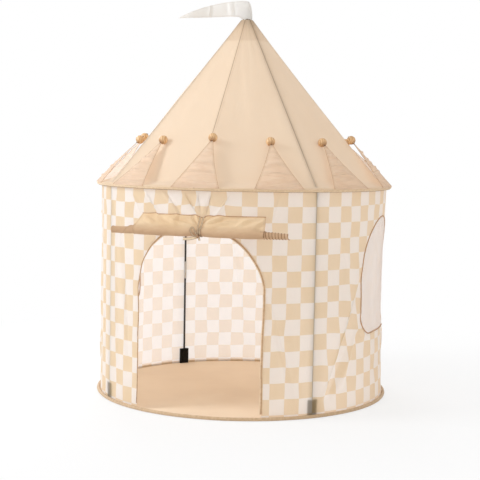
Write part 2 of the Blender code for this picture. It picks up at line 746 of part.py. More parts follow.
def ball_centre(slope_angle):
    """Radius and height of a ball's centre when its flap lies at an angle."""
    radius, height = hinge_place()
    length = FLAP_LENGTH + ball_seat()
    return radius - length * math.cos(slope_angle), height + length * math.sin(slope_angle)


def hinge_place():
    """Radius and height of the line that a flap turns about."""
    radius = EAVES_RING_RADIUS + EAVES_HEM_RADIUS + CLEAR + CLOTH / 2
    return radius, EAVES_HEIGHT + EAVES_HEM_RADIUS - HINGE_DROP


def roof_distance(angle, radius, height):
    """Gap from a point over the roof to its outer face, in the upright plane at an angle."""
    best = None
    for step in range(401):
        point = roof_point(angle, step / 400)
        gap = math.hypot(math.hypot(point.x, point.y) - radius, point.z - height)
        best = gap if best is None else min(best, gap)
    return best


def flap_rest_angle(angle):
    """Slope of a flap whose ball leans on the roof."""
    low, high = ROOF_SLOPE - 0.2, ROOF_SLOPE + 0.4
    for _ in range(30):
        middle = (low + high) / 2
        if roof_distance(angle, *ball_centre(middle)) < BALL_RADIUS + CLEAR:
            low = middle
        else:
            high = middle
    return high


def build_crown_point(number):
    """One crown flap on its hinge line, with the wooden ball at its tip."""
    angle = 2 * math.pi * number / FLAP_COUNT
    slope_angle = flap_rest_angle(angle)
    radius, height = hinge_place()
    hinge = add_empty(f"crown_hinge_{number + 1:02d}", polar(radius, angle, height),
                      (slope_angle, 0.0, angle))
    lean = FLAP_LEANS.get(number, 0.0)
    grids = []
    for side in (-0.5, 0.5):
        grid = []
        for row in range(6):
            share = row / 5
            half = FLAP_HALF_WIDTH + (FLAP_TIP - FLAP_HALF_WIDTH) * share
            line = []
            for column in range(5):
                across = half * (column / 2 - 1)
                inward = FLAP_BEND * across ** 2 / (2 * radius)
                wave = FLAP_WAVE * (row % 2) * (1 - share)
                line.append(Vector((across + lean * share,
                                    FLAP_LENGTH * share + inward * math.cos(slope_angle),
                                    side * CLOTH + wave - inward * math.sin(slope_angle))))
            grid.append(line)
        grids.append(grid)
    add_object(f"crown_flap_{number + 1:02d}", *slab(*grids), BLUSH, parent=hinge)
    along = Vector((0, 1, 0))
    turns = [math.pi * step / BALL_RINGS for step in range(1, BALL_RINGS)]
    profile = [(math.sin(turn), -math.cos(turn)) for turn in turns]
    loops = [circle(Vector((0, BALL_RADIUS * rise, 0)), along, Vector((1, 0, 0)), BALL_RADIUS * wide)
             for wide, rise in profile]
    ball = add_object(f"crown_ball_{number + 1:02d}", *loft(loops), BEECH, parent=hinge)
    ball.location = (lean, FLAP_LENGTH + ball_seat(), 0.0)


def build_pennant():
    """Pennant: a hood on the hub's peg and a tail that flies to one side."""
    pivot = add_empty("pennant_pivot", (0.0, 0.0, APEX_HEIGHT + HOOD_FOOT),
                      (0.0, 0.0, math.radians(PENNANT_HEADING)))
    bore = (PEG_RADIUS + CLEAR) / math.cos(math.pi / HUB_SIDES)
    bore_top = PEG_HEIGHT + CLEAR - HOOD_FOOT
    profile = [(bore, bore_top), (bore, 0.0)]
    profile += [(HOOD_RADIUS * wide, HOOD_HEIGHT * rise) for rise, wide in HOOD_SHAPE]
    pennant = add_object("pennant", *loft(turned(profile, HUB_SIDES)), OFF_WHITE, parent=pivot)
    loops = []
    root = HOOD_RADIUS / 2
    for step in range(11):
        share = step / 10
        distance = root + (TAIL_LENGTH - root) * share
        taper = 1 - (distance / (TAIL_LENGTH * 1.01)) ** 2.3
        centre = Vector((TAIL_SWAY * math.sin(3 * math.pi * share), -distance,
                         TAIL_ROOT_RISE - HOOD_FOOT - TAIL_DROOP * share ** 1.9))
        loop = []
        for corner in range(8):
            turn = 2 * math.pi * corner / 8
            thick = TAIL_THICKNESS / 2 * (0.4 + 0.6 * taper)
            loop.append(centre + Vector((thick * math.cos(turn), 0.0,
                                         TAIL_ROOT_HEIGHT / 2 * taper * math.sin(turn))))
        loops.append(loop)
    tail = helper("pennant_tail", *loft(loops))
    tail.parent = pivot
    boolean(pennant, tail, "UNION")


def build_tent():
    """Whole tent, from the floor up."""
    for item in list(bpy.data.objects):
        bpy.data.objects.remove(item, do_unlink=True)
    build_floor()
    build_walls()
    build_windows()
    build_eaves()
    build_roof()
    for number, degrees in enumerate(POLE_ANGLES, 1):
        build_pole_set(number, degrees)
    build_hub()
    build_curtain()
    for number in range(FLAP_COUNT):
        build_crown_point(number)
    build_pennant()


build_tent()
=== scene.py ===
"""Looks of a round play tent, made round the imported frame.

Metres, +Z up. The doorway faces -Y. An angle about the tent's axis is zero there and grows towards +X.
"""
import json
import math

import bmesh
import bpy
import numpy as np
from mathutils import Matrix, Vector


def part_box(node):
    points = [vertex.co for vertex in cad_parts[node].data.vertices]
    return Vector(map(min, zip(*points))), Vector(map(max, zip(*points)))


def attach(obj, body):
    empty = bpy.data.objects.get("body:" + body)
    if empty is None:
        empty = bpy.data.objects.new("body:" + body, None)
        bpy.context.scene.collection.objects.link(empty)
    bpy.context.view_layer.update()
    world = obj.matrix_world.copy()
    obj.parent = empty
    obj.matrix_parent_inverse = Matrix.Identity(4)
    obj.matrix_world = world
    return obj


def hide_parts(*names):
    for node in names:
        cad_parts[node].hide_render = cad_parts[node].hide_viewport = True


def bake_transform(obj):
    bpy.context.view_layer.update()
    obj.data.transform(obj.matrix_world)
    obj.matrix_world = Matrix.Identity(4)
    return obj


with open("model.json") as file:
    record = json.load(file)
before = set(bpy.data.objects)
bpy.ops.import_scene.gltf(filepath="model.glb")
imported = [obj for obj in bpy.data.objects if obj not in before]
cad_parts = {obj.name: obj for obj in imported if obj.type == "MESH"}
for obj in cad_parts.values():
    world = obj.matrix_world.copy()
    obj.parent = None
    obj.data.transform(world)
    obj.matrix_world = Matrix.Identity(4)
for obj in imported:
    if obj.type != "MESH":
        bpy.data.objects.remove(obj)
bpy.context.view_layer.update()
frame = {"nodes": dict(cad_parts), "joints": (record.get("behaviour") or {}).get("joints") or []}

# Sizes read from the frame
FLOOR_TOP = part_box("floor_sheet")[1].z
FLOOR_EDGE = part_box("floor_sheet")[1].x
BASE_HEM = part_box("base_hem")[1].z / 2
BASE_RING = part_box("base_hem")[1].x - BASE_HEM
WALL_OUTER = -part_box("wall_front")[0].y
WALL_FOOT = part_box("wall_front")[0].z
WALL_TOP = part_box("wall_back")[1].z
EAVES_HEM = 0.006       # radius of the tube
EAVES_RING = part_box("eaves_hem")[1].x - EAVES_HEM
EAVES_HEIGHT = (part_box("eaves_hem")[0].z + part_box("eaves_hem")[1].z) / 2
ROOF_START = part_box("roof_canopy")[0].z
APEX_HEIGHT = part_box("roof_canopy")[1].z
QUARTER = math.pi / 2

# Cloth shapes that the frame doesn't state
WALL_WAIST = 0.010
APEX_RADIUS = 0.022
ROOF_INSET = 0.0085
DOOR = {"half": 0.235, "foot": 0.0, "spring": 0.430, "rise": 0.226, "corner": 0.0}
WINDOW = {"half": 0.188, "foot": 0.263, "spring": 0.475, "rise": 0.208, "corner": 0.075}
PIPING = 0.0029
PANEL_WIDTH = QUARTER * WALL_OUTER
CHECK_WIDTH = PANEL_WIDTH / 16
CHECK_HEIGHT = 0.0546
CHECK_TOP = 0.7815
ROOF_FOOT = EAVES_RING - ROOF_INSET
ROOF_RUN = ROOF_FOOT - APEX_RADIUS
ROOF_SLOPE = math.atan2(APEX_HEIGHT - EAVES_HEIGHT, ROOF_RUN)


# Shapes


WAVES = 5                       # directions in each octave of a ripple
SEED_STEP, OCTAVE_STEP, WAVE_STEP, GOLDEN_ANGLE = 7.31, 3.7, 2.399, 2.399963
FINER, FAINTER = 1.7, 1.6       # from one octave of a ripple to the next
END_STEP, END_RADIUS = 1e-3, 1e-5       # how the end of a tube or of a turned shape closes
SHARP = math.radians(40)


def polar(radius, angle, height):
    """Points at angles in radians about the tent's axis."""
    radius, angle, height = np.broadcast_arrays(radius, angle, height)
    return np.stack([radius * np.sin(angle), -radius * np.cos(angle), height], -1)


def smooth(value):
    """Soft step from nothing at 0 to one at 1."""
    value = np.clip(value, 0.0, 1.0)
    return value * value * (3 - 2 * value)


def ripple(across, along, size, seed, octaves=3):
    """Soft unevenness between about -1 and 1, from waves in many directions."""
    total = np.zeros(np.broadcast(across, along).shape)
    weight = 0.0
    for octave in range(octaves):
        for wave in range(WAVES):
            number = seed * SEED_STEP + octave * OCTAVE_STEP + wave * WAVE_STEP
            turn = number * GOLDEN_ANGLE
            pitch = size / (FINER ** octave) * (0.8 + 0.4 * math.sin(number * 5.1) ** 2)
            phase = 10 * math.sin(number * 12.9898)
            bend = 0.6 * np.sin(2 * math.pi * across / (size * 2.3) + number)
            total += np.sin(2 * math.pi * (across * math.cos(turn) + along * math.sin(turn)) / pitch
                            + phase + bend) / (FAINTER ** octave)
            weight += 0.45 / (FAINTER ** octave)
    return total / weight / 2


def line_places(across, along, start, end):
    """Share along a line and distance beside it, with the direction that the distance counts in."""
    start, end = np.asarray(start), np.asarray(end)
    span = end - start
    length = math.hypot(*span)
    share = ((across - start[0]) * span[0] + (along - start[1]) * span[1]) / length ** 2
    apart = ((across - start[0]) * span[1] - (along - start[1]) * span[0]) / length
    taper = np.sqrt(np.clip(np.sin(math.pi * np.clip(share, 0, 1)), 0, 1))
    return taper, apart, (span[1] / length, -span[0] / length)


def crease(across, along, start, end, width, depth):
    """Ridge with a hollow beside it, along a line between two places on the cloth."""
    taper, apart, _ = line_places(across, along, start, end)
    ridge = np.exp(-(apart / width) ** 2) - 0.6 * np.exp(-((apart - 1.7 * width) / (1.3 * width)) ** 2)
    return depth * taper * ridge


def gather(across, along, start, end, width, depth):
    """Cloth drawn towards a crease from both sides."""
    taper, apart, direction = line_places(across, along, start, end)
    drawn = -abs(depth) * taper * apart / width * np.exp(-(apart / (2.2 * width)) ** 2)
    return drawn * direction[0], drawn * direction[1]


def grid_piece(name, points, look, cloth, lines=None, flip=False):
    """Smooth mesh from a grid of points, with its places on the flat cloth and its distances to lines."""
    rows, columns = points.shape[:2]
    order = slice(None, None, -1 if flip else 1)
    points = points[:, order]
    index = np.arange(rows * columns).reshape(rows, columns)
    quads = np.stack([index[:-1, :-1], index[:-1, 1:], index[1:, 1:], index[1:, :-1]], -1).reshape(-1, 4)
    mesh = bpy.data.meshes.new(name)
    mesh.from_pydata(points.reshape(-1, 3).tolist(), [], quads.tolist())
    for layer, values in (("cloth", cloth), ("lines", lines)):
        if values is not None:
            places = np.stack([np.broadcast_to(value, (rows, columns)) for value in values], -1)
            corners = places[:, order].reshape(-1, 2)[quads.reshape(-1)]
            mesh.uv_layers.new(name=layer).data.foreach_set("uv", corners.ravel())
    mesh.shade_smooth()
    mesh.materials.append(look)
    piece = bpy.data.objects.new(name, mesh)
    bpy.context.scene.collection.objects.link(piece)
    return piece


def swept(path, radius, sides=12, closed=False, squeeze=1.0, reference=(0.0, 0.0, 1.0)):
    """Grid of points of a tube along a path, and its places along and round."""
    path = np.asarray(path, float)
    if closed:
        ahead, behind = np.roll(path, -1, 0), np.roll(path, 1, 0)
    else:
        ahead = np.vstack([path[1:], path[-1:]])
        behind = np.vstack([path[:1], path[:-1]])
    along = ahead - behind
    along /= np.linalg.norm(along, axis=1)[:, None]
    reference = np.broadcast_to(np.asarray(reference, float), path.shape)
    side = np.cross(along, reference)
    side /= np.linalg.norm(side, axis=1)[:, None]
    up = np.cross(side, along)
    steps = np.linalg.norm(np.diff(path, axis=0), axis=1)
    distance = np.concatenate([[0.0], np.cumsum(steps)])
    if closed:
        path, side, up = (np.vstack([rows, rows[:1]]) for rows in (path, side, up))
        distance = np.append(distance, distance[-1] + steps[-1])
    radius = np.broadcast_to(np.asarray(radius, float).reshape(-1, 1), (len(path), 1))
    turn = 2 * math.pi * np.arange(sides + 1) / sides
    offsets = (side[:, None] * np.cos(turn)[None, :, None]
               + up[:, None] * np.sin(turn)[None, :, None] * squeeze)
    points = path[:, None] + offsets * radius[..., None]
    cloth = (distance[:, None], turn[None] * radius)
    return points, cloth


def weld(piece, distance=1e-6):
    """Joins points that lie on each other, so that a tube or a turned shape closes."""
    shell = bmesh.new()
    shell.from_mesh(piece.data)
    bmesh.ops.remove_doubles(shell, verts=shell.verts, dist=distance)
    shell.to_mesh(piece.data)
    shell.free()
    return piece


def tube(name, path, radius, look, **options):
    """Tube along a path. An open one has closed ends."""
    path = np.asarray(path, float)
    if not options.get("closed"):
        radius = np.broadcast_to(np.asarray(radius, float), (len(path),))
        reference = np.asarray(options.get("reference", (0.0, 0.0, 1.0)), float)
        if reference.ndim == 2:
            options["reference"] = np.vstack([reference[:1], reference, reference[-1:]])
        path = np.vstack([path[:1], path, path[-1:]])
        path[0] += (path[1] - path[2]) * END_STEP
        path[-1] += (path[-2] - path[-3]) * END_STEP
        radius = np.concatenate([[END_RADIUS], radius, [END_RADIUS]])
    points, cloth = swept(path, radius, **options)
    return weld(grid_piece(name, points, look, cloth))


def turned(name, base, direction, profile, look, sides=28):
    """Shape turned about a line, from pairs of a distance along it and a radius."""
    base, direction = Vector(base), Vector(direction).normalized()
    rotation = direction.to_track_quat("Z", "Y").to_matrix()
    turn = 2 * math.pi * np.arange(sides + 1) / sides
    profile = np.asarray(profile, float)
    local = np.stack([profile[:, 1:] * np.cos(turn), profile[:, 1:] * np.sin(turn),
                      np.broadcast_to(profile[:, :1], (len(profile), sides + 1))], -1)
    points = local @ np.array(rotation).T + np.array(base)
    cloth = (turn[None] * 0.01, profile[:, :1])
    piece = weld(grid_piece(name, points, look, cloth))
    piece.data.set_sharp_from_angle(angle=SHARP)
    return piece


def dress(piece, body, node):
    """Makes a piece ride on a body and stand for a node."""
    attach(piece, body)
    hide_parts(node)
    return piece


# Materials


WEAVE_PITCH, WEAVE_DEPTH = 0.0012, 0.00005
STITCH_WIDTH, STITCH_PITCH = 0.0007, 0.0042
HEM_DEPTH = 0.0004


class Look:
    """One procedural material or world, with short calls for its nodes."""

    def __init__(self, name, kind=bpy.data.materials):
        self.made = kind.new(name)
        self.made.use_nodes = True
        self.tree = self.made.node_tree
        self.tree.nodes.clear()

    def node(self, kind, **settings):
        node = self.tree.nodes.new("ShaderNode" + kind)
        for key, value in settings.items():
            setattr(node, key, value)
        return node

    def put(self, socket, value):
        """Sets a socket to a number, to a colour or to what another node gives."""
        if isinstance(value, bpy.types.NodeSocket):
            self.tree.links.new(value, socket)
        else:
            socket.default_value = value

    def math(self, operation, first, second=0.0, third=0.0):
        node = self.node("Math", operation=operation)
        for socket, value in zip(node.inputs, (first, second, third)):
            self.put(socket, value)
        return node.outputs[0]

    def mix(self, share, first, second, blend="MIX"):
        node = self.node("Mix", data_type="RGBA", blend_type=blend)
        for number, value in ((0, share), (6, first), (7, second)):
            self.put(node.inputs[number], value)
        return node.outputs[2]

    def fade(self, value, start, end, low=0.0, high=1.0):
        """Goes from low to high as value goes from start to end."""
        node = self.node("MapRange", clamp=True)
        for number, entry in enumerate((value, start, end, low, high)):
            self.put(node.inputs[number], entry)
        return node.outputs[0]

    def noise(self, place, scale, detail=2.0, distortion=0.0):
        node = self.node("TexNoise")
        self.put(node.inputs["Vector"], place)
        node.inputs["Scale"].default_value = scale
        node.inputs["Detail"].default_value = detail
        node.inputs["Distortion"].default_value = distortion
        return node.outputs["Fac"]

    def stretched(self, place, scale):
        node = self.node("Mapping")
        self.put(node.inputs["Vector"], place)
        node.inputs["Scale"].default_value = scale
        return node.outputs[0]

    def spot(self, layer="cloth"):
        """A place on the flat cloth in metres, as a vector and its two parts."""
        place = self.node("UVMap", uv_map=layer).outputs[0]
        parts = self.node("SeparateXYZ")
        self.put(parts.inputs[0], place)
        return place, parts.outputs[0], parts.outputs[1]

    def own_place(self):
        return self.node("TexCoord").outputs["Object"]

    def waves(self, value, pitch):
        return self.math("SINE", self.math("MULTIPLY", value, 2 * math.pi / pitch))

    def weave(self, across, along, pitch):
        """Height of a plain weave, from -1 to 1."""
        return self.math("MULTIPLY", self.waves(across, pitch), self.waves(along, pitch))

    def stitches(self, across, along, distance, place):
        """Thread of a seam that runs at a distance from a line."""
        off = self.math("ABSOLUTE", self.math("SUBTRACT", distance, place))
        line = self.fade(off, STITCH_WIDTH * 0.5, STITCH_WIDTH, 1.0, 0.0)
        dash = self.fade(self.waves(self.math("ADD", across, along), STITCH_PITCH), -0.6, -0.3)
        return self.math("MULTIPLY", line, dash)

    def bumps(self, *layers):
        """Normal of heights laid on each other, each with its depth in metres."""
        normal = None
        for height, depth in layers:
            node = self.node("Bump")
            node.inputs["Distance"].default_value = depth
            node.inputs["Strength"].default_value = 1.0
            self.put(node.inputs["Height"], height)
            if normal is not None:
                self.put(node.inputs["Normal"], normal)
            normal = node.outputs[0]
        return normal

    def principled(self, colour, roughness, normal=None, **levels):
        node = self.node("BsdfPrincipled")
        self.put(node.inputs["Base Color"], colour)
        self.put(node.inputs["Roughness"], roughness)
        for key, value in levels.items():
            node.inputs[key.replace("_", " ")].default_value = value
        if normal is not None:
            self.put(node.inputs["Normal"], normal)
        return node.outputs[0]

    def blend(self, share, first, second):
        node = self.node("MixShader")
        for socket, value in zip(node.inputs, (share, first, second)):
            self.put(socket, value)
        return node.outputs[0]

    def sheer(self, colour, normal, through, glow):
        """Cloth that lets part of the light through, less coloured than what it throws back."""
        front = self.principled(colour, 0.8, normal, Sheen_Weight=0.15, Sheen_Roughness=0.5,
                                Specular_IOR_Level=0.25)
        back = self.node("BsdfTranslucent")
        self.put(back.inputs["Color"], self.mix(0.85, colour, glow))
        self.put(back.inputs["Normal"], normal)
        return self.blend(through, front, back.outputs[0])

    def woven(self, across, up, colour, creased, depth, folded, through, glow, hem_depth=HEM_DEPTH):
        """Thin cloth with its creases, the step of its hem or seam, and its weave."""
        normal = self.bumps((creased, depth), (folded, hem_depth),
                            (self.weave(across, up, WEAVE_PITCH), WEAVE_DEPTH))
        return self.done(self.sheer(colour, normal, through, glow))

    def seen_straight(self):
        """One where the camera looks at a surface itself, in a mirror or through glass, and nothing elsewhere."""
        rays = self.node("LightPath").outputs
        direct = self.math("MAXIMUM", rays["Is Camera Ray"], rays["Is Glossy Ray"])
        return self.math("MAXIMUM", direct, rays["Is Transmission Ray"])

    def done(self, shader, output="OutputMaterial"):
        self.put(self.node(output).inputs["Surface"], shader)
        return self.made


def rgb(red, green, blue):
    """Linear colour of an 8-bit display colour."""
    def linear(value):
        value /= 255
        return value / 12.92 if value <= 0.04045 else ((value + 0.055) / 1.055) ** 2.4
    return linear(red), linear(green), linear(blue), 1.0


GLOW = rgb(255, 250, 242)
WALL_GLOW = rgb(253, 250, 250)
CREAM = rgb(250, 245, 239)
TAN = rgb(236, 209, 164)
ROOF = rgb(249, 225, 196)
BLUSH = rgb(249, 225, 201)
FLOOR = rgb(250, 225, 194)
CURTAIN = rgb(248, 221, 182)
ROLLED = rgb(222, 185, 148)
BINDING = rgb(220, 190, 154)
PIPING_BROWN = rgb(202, 160, 122)
THREAD = rgb(206, 172, 134)
POLE_SHADE = rgb(126, 100, 52)
WHITE = rgb(247, 245, 242)
MESH_WHITE = rgb(252, 251, 252)


def checked_cloth():
    """Cream cloth printed with tan squares, with painted shade where the poles and their pockets stand behind it."""
    look = Look("checked_cloth")
    place, across, up = look.spot()
    column = look.math("FLOOR", look.math("DIVIDE", across, CHECK_WIDTH))
    row = look.math("FLOOR", look.math("DIVIDE", look.math("SUBTRACT", CHECK_TOP, up), CHECK_HEIGHT))
    odd = look.math("FLOORED_MODULO", look.math("ADD", column, row), 2.0)
    worn = look.fade(look.noise(place, 9.0, 3.0), 0.3, 0.7, 0.90, 1.0)
    colour = look.mix(look.math("MULTIPLY", odd, worn), CREAM, TAN)
    # Painted shade of each pole rod behind the cloth: a narrow dark line over the rod and a faint wide band beside
    # it.
    off = look.math("SUBTRACT", look.math("DIVIDE", across, PANEL_WIDTH), 0.5)
    off = look.math("ABSOLUTE", look.math("SUBTRACT", off, look.math("ROUND", off)))
    off = look.math("MULTIPLY", off, PANEL_WIDTH)
    rod = look.math("MAXIMUM", look.fade(off, 0.0010, 0.0028, 0.66, 0.0),
                    look.fade(off, 0.0, 0.0130, 0.14, 0.0))
    # Painted shade of each black foot pocket behind the cloth, low down beside its pole.
    pocket = look.math("MULTIPLY", look.fade(off, 0.0170, 0.0210, 0.62, 0.0),
                       look.fade(up, 0.060, 0.067, 1.0, 0.0))
    # The painted pole shade is fainter on the left side of the tent, where the key lamp falls.
    rod = look.math("MULTIPLY", rod, look.fade(across, -0.1, 0.1, 0.30, 1.0))
    colour = look.mix(look.math("MAXIMUM", rod, pocket), colour, POLE_SHADE)
    edge = look.spot("lines")[1]
    thread = look.stitches(across, up, edge, 0.0065)
    colour = look.mix(look.math("MULTIPLY", thread, 0.55), colour, THREAD)
    folded = look.fade(edge, 0.0085, 0.0095, 1.0, 0.0)
    crumple = look.noise(look.stretched(place, (1.0, 0.55, 1.0)), 16.0, 4.0, 0.6)
    return look.woven(across, up, colour, crumple, 0.0045, folded, 0.44, WALL_GLOW)


def roof_cloth():
    """Plain cloth of the roof, with sewn seams, painted shade of the poles under it, and cloth that goes darker
    towards the apex.
    """
    look = Look("roof_cloth")
    place, across, up = look.spot()
    _, pole, seam = look.spot("lines")
    colour = look.mix(look.fade(look.noise(place, 5.0, 3.0), 0.3, 0.7, 0.0, 0.4), ROOF, rgb(242, 214, 182))
    # Darker above an edge a short way below the apex, and more so towards the top.
    apex_darkening = look.math("MULTIPLY", look.fade(up, 0.696, 0.706, 0.0, 0.55), look.fade(up, 0.69, 0.80, 0.75, 1.0))
    colour = look.mix(apex_darkening, colour, rgb(214, 180, 142))
    # Painted shade of each rod under the roof's cloth: a narrow dark line and a faint wide band, starting above the
    # lap and fainter towards the eaves.
    rod = look.math("MAXIMUM", look.fade(pole, 0.0010, 0.0026, 0.70, 0.0), look.fade(pole, 0.0, 0.0090, 0.05, 0.0))
    rod = look.math("MULTIPLY", rod, look.fade(up, 0.004, 0.016))
    rod = look.math("MULTIPLY", rod, look.fade(up, 0.02, 0.18, 0.45, 1.0))
    colour = look.mix(rod, colour, rgb(128, 88, 46))
    sewn = look.fade(seam, 0.0010, 0.0026, 0.80, 0.0)
    colour = look.mix(sewn, colour, rgb(152, 116, 80))
    either = look.math("MINIMUM", pole, seam)
    thread = look.stitches(across, up, either, 0.0062)
    colour = look.mix(look.math("MULTIPLY", thread, 0.5), colour, THREAD)
    folded = look.fade(either, 0.0072, 0.0084, 1.0, 0.0)
    crumple = look.noise(look.stretched(place, (1.0, 0.5, 1.0)), 11.0, 3.0, 0.4)
    return look.woven(across, up, colour, crumple, 0.0030, folded, 0.40, GLOW, 0.0005)


def plain_cloth(name, colour, shade, through, crumple, scale, folded=0.0045, sewn=THREAD, grain=(0.55, 1.0, 1.0),
                wound=None, outlined=0.22):
    """Cloth of one colour with hemmed edges. Where it is wound up, its colour deepens."""
    look = Look(name)
    place, across, up = look.spot()
    edge = look.spot("lines")[1]
    patch = look.fade(look.noise(place, scale * 0.6, 3.0), 0.3, 0.7, 0.0, 0.6)
    mixed = look.mix(patch, colour, shade)
    if wound:
        start, end, deep, deeper = wound
        mixed = look.mix(look.fade(up, start, end), mixed, look.mix(patch, deep, deeper))
    thread = look.stitches(across, up, edge, folded)
    mixed = look.mix(look.math("MULTIPLY", thread, 0.5), mixed, sewn)
    hem = look.fade(edge, folded * 1.25, folded * 1.4, 1.0, 0.0)
    # Band along each hem tinted towards the thread colour by outlined; on the ribbon, where outlined is high, the
    # band is painted shade along its edges.
    mixed = look.mix(look.math("MULTIPLY", hem, outlined), mixed, sewn)
    creased = look.noise(look.stretched(place, grain), scale, 4.0, 0.9)
    return look.woven(across, up, mixed, creased, crumple, hem, through, GLOW)


def bias_binding(name, colour, shade):
    """Folded tape sewn round an edge: slanting weave, small puckers and a row of stitches."""
    look = Look(name)
    place, along, around = look.spot()
    slant = look.math("ADD", along, around)
    lean = look.math("SUBTRACT", along, around)
    pucker = look.noise(look.stretched(place, (1.0, 0.3, 1.0)), 90.0, 2.0, 0.5)
    mixed = look.mix(look.fade(pucker, 0.35, 0.65, 0.0, 0.7), colour, shade)
    normal = look.bumps((pucker, 0.0007), (look.weave(slant, lean, 0.0016), 0.00012))
    return look.done(look.principled(mixed, 0.8, normal, Sheen_Weight=0.2))


def net():
    """Fine open mesh of the windows."""
    look = Look("window_net")
    place, across, up = look.spot()
    pitch = 0.0024
    thread = look.math("MAXIMUM", look.waves(across, pitch), look.waves(up, pitch))
    closed = look.fade(thread, 0.1, 0.75, 0.50, 1.0)
    streak = look.noise(look.stretched(place, (1.0, 0.12, 1.0)), 28.0, 3.0, 0.4)
    colour = look.mix(look.fade(streak, 0.35, 0.65, 0.0, 0.5), MESH_WHITE, rgb(228, 224, 224))
    normal = look.bumps((streak, 0.003), (thread, 0.0001))
    open_side = look.node("BsdfTransparent").outputs[0]
    return look.done(look.blend(closed, open_side, look.sheer(colour, normal, 0.5, WALL_GLOW)))


def webbing():
    """Coarse black cloth of the foot pockets."""
    look = Look("pocket_webbing")
    place, across, up = look.spot()
    colour = look.mix(look.fade(look.noise(place, 60.0, 2.0), 0.3, 0.7), rgb(15, 13, 9), rgb(25, 22, 16))
    edge = look.spot("lines")[1]
    thread = look.stitches(across, up, edge, 0.0035)
    colour = look.mix(look.math("MULTIPLY", thread, 0.5), colour, rgb(64, 58, 48))
    normal = look.bumps((look.weave(across, up, 0.0022), 0.0003), (thread, 0.0003))
    return look.done(look.principled(colour, 0.82, normal, Sheen_Weight=0.04, Specular_IOR_Level=0.2))


def rod_finish():
    """Black glass-fibre rod: fine streaks along it under a satin skin."""
    look = Look("black_rod")
    place = look.own_place()
    streak = look.noise(look.stretched(place, (900.0, 900.0, 14.0)), 1.0, 2.0)
    colour = look.mix(streak, rgb(20, 20, 20), rgb(40, 39, 38))
    roughness = look.fade(streak, 0.3, 0.7, 0.32, 0.48)
    return look.done(look.principled(colour, roughness, look.bumps((streak, 0.00005)), Coat_Weight=0.25))


def ferrule_finish():
    """Bright metal sleeve with turning marks and light scratches."""
    look = Look("bright_ferrule")
    place = look.own_place()
    rings = look.noise(look.stretched(place, (20.0, 20.0, 2600.0)), 1.0, 2.0)
    worn = look.noise(place, 220.0, 3.0)
    colour = look.mix(worn, rgb(206, 206, 204), rgb(182, 181, 178))
    roughness = look.fade(rings, 0.3, 0.7, 0.24, 0.42)
    return look.done(look.principled(colour, roughness, look.bumps((rings, 0.00006)), Metallic=1.0))


def plastic(name, colour, shade):
    """Moulded black plastic with a fine grain."""
    look = Look(name)
    place = look.own_place()
    grain = look.noise(place, 1400.0, 2.0)
    mixed = look.mix(look.noise(place, 40.0, 2.0), colour, shade)
    roughness = look.fade(look.noise(place, 90.0, 2.0), 0.3, 0.7, 0.45, 0.62)
    return look.done(look.principled(mixed, roughness, look.bumps((grain, 0.00008))))


def wood():
    """Sanded beech under a thin varnish: slow rings, short dark flecks, and painted shade on the ball's lower end,
    where it faces its flap.
    """
    look = Look("turned_beech")
    place = look.own_place()
    warp = look.noise(place, 26.0, 2.0)
    parts = look.node("SeparateXYZ")
    look.put(parts.inputs[0], place)
    level = look.math("ADD", look.math("MULTIPLY", parts.outputs[0], 0.5), look.math("MULTIPLY", warp, 0.020))
    level = look.math("ADD", level, look.math("MULTIPLY", parts.outputs[1], 0.31))
    rings = look.waves(level, 0.0042)
    colour = look.mix(look.fade(rings, -0.8, 1.0), rgb(240, 200, 150), rgb(212, 164, 112))
    fleck = look.noise(look.stretched(place, (320.0, 320.0, 1400.0)), 1.0, 2.0)
    colour = look.mix(look.fade(fleck, 0.60, 0.72, 0.0, 0.5), colour, rgb(150, 98, 58))
    _, _, along = look.spot()
    # Painted shade: the ball goes darker towards its lower end, where it faces its flap.
    painted_foot_shade = look.math("ADD", along, look.math("MULTIPLY", warp, 0.006))
    colour = look.mix(look.fade(painted_foot_shade, -0.0130, -0.0030, 0.70, 0.0), colour, rgb(140, 94, 58))
    return look.done(look.principled(colour, 0.5, look.bumps((fleck, 0.00008)), Coat_Weight=0.2, Coat_Roughness=0.4))


def glass_fibre():
    """Pale springy rod of the two hoops."""
    look = Look("pale_rod")
    streak = look.noise(look.stretched(look.own_place(), (40.0, 40.0, 300.0)), 1.0, 2.0)
    colour = look.mix(streak, rgb(214, 208, 190), rgb(190, 182, 160))
    return look.done(look.principled(colour, 0.45, look.bumps((streak, 0.0001))))


CHECKED = checked_cloth()
ROOF_CLOTH = roof_cloth()
FLAP_CLOTH = plain_cloth("flap_cloth", BLUSH, rgb(234, 200, 172), 0.42, 0.0160, 30.0, grain=(0.16, 1.2, 1.0))
FLOOR_CLOTH = plain_cloth("floor_cloth", FLOOR, rgb(236, 208, 176), 0.06, 0.0030, 7.0)
CURTAIN_CLOTH = plain_cloth("curtain_cloth", CURTAIN, rgb(228, 190, 142), 0.22, 0.0080, 24.0,
                            wound=(0.042, 0.074, ROLLED, rgb(210, 170, 132)))
# The ribbon's edges go most of the way to dark brown: painted shade along the edges of its strands and tails.
RIBBON_CLOTH = plain_cloth("ribbon_cloth", rgb(246, 224, 190), rgb(226, 196, 156), 0.15, 0.0010, 60.0, 0.0009,
                           sewn=rgb(118, 70, 36), outlined=0.70)
PENNANT_CLOTH = plain_cloth("pennant_cloth", WHITE, rgb(240, 237, 233), 0.30, 0.0010, 14.0, 0.0030,
                            sewn=rgb(222, 212, 202))
HEM_CLOTH = bias_binding("hem_binding", BINDING, rgb(202, 168, 130))
PIPING_CLOTH = bias_binding("piping", PIPING_BROWN, rgb(178, 134, 96))
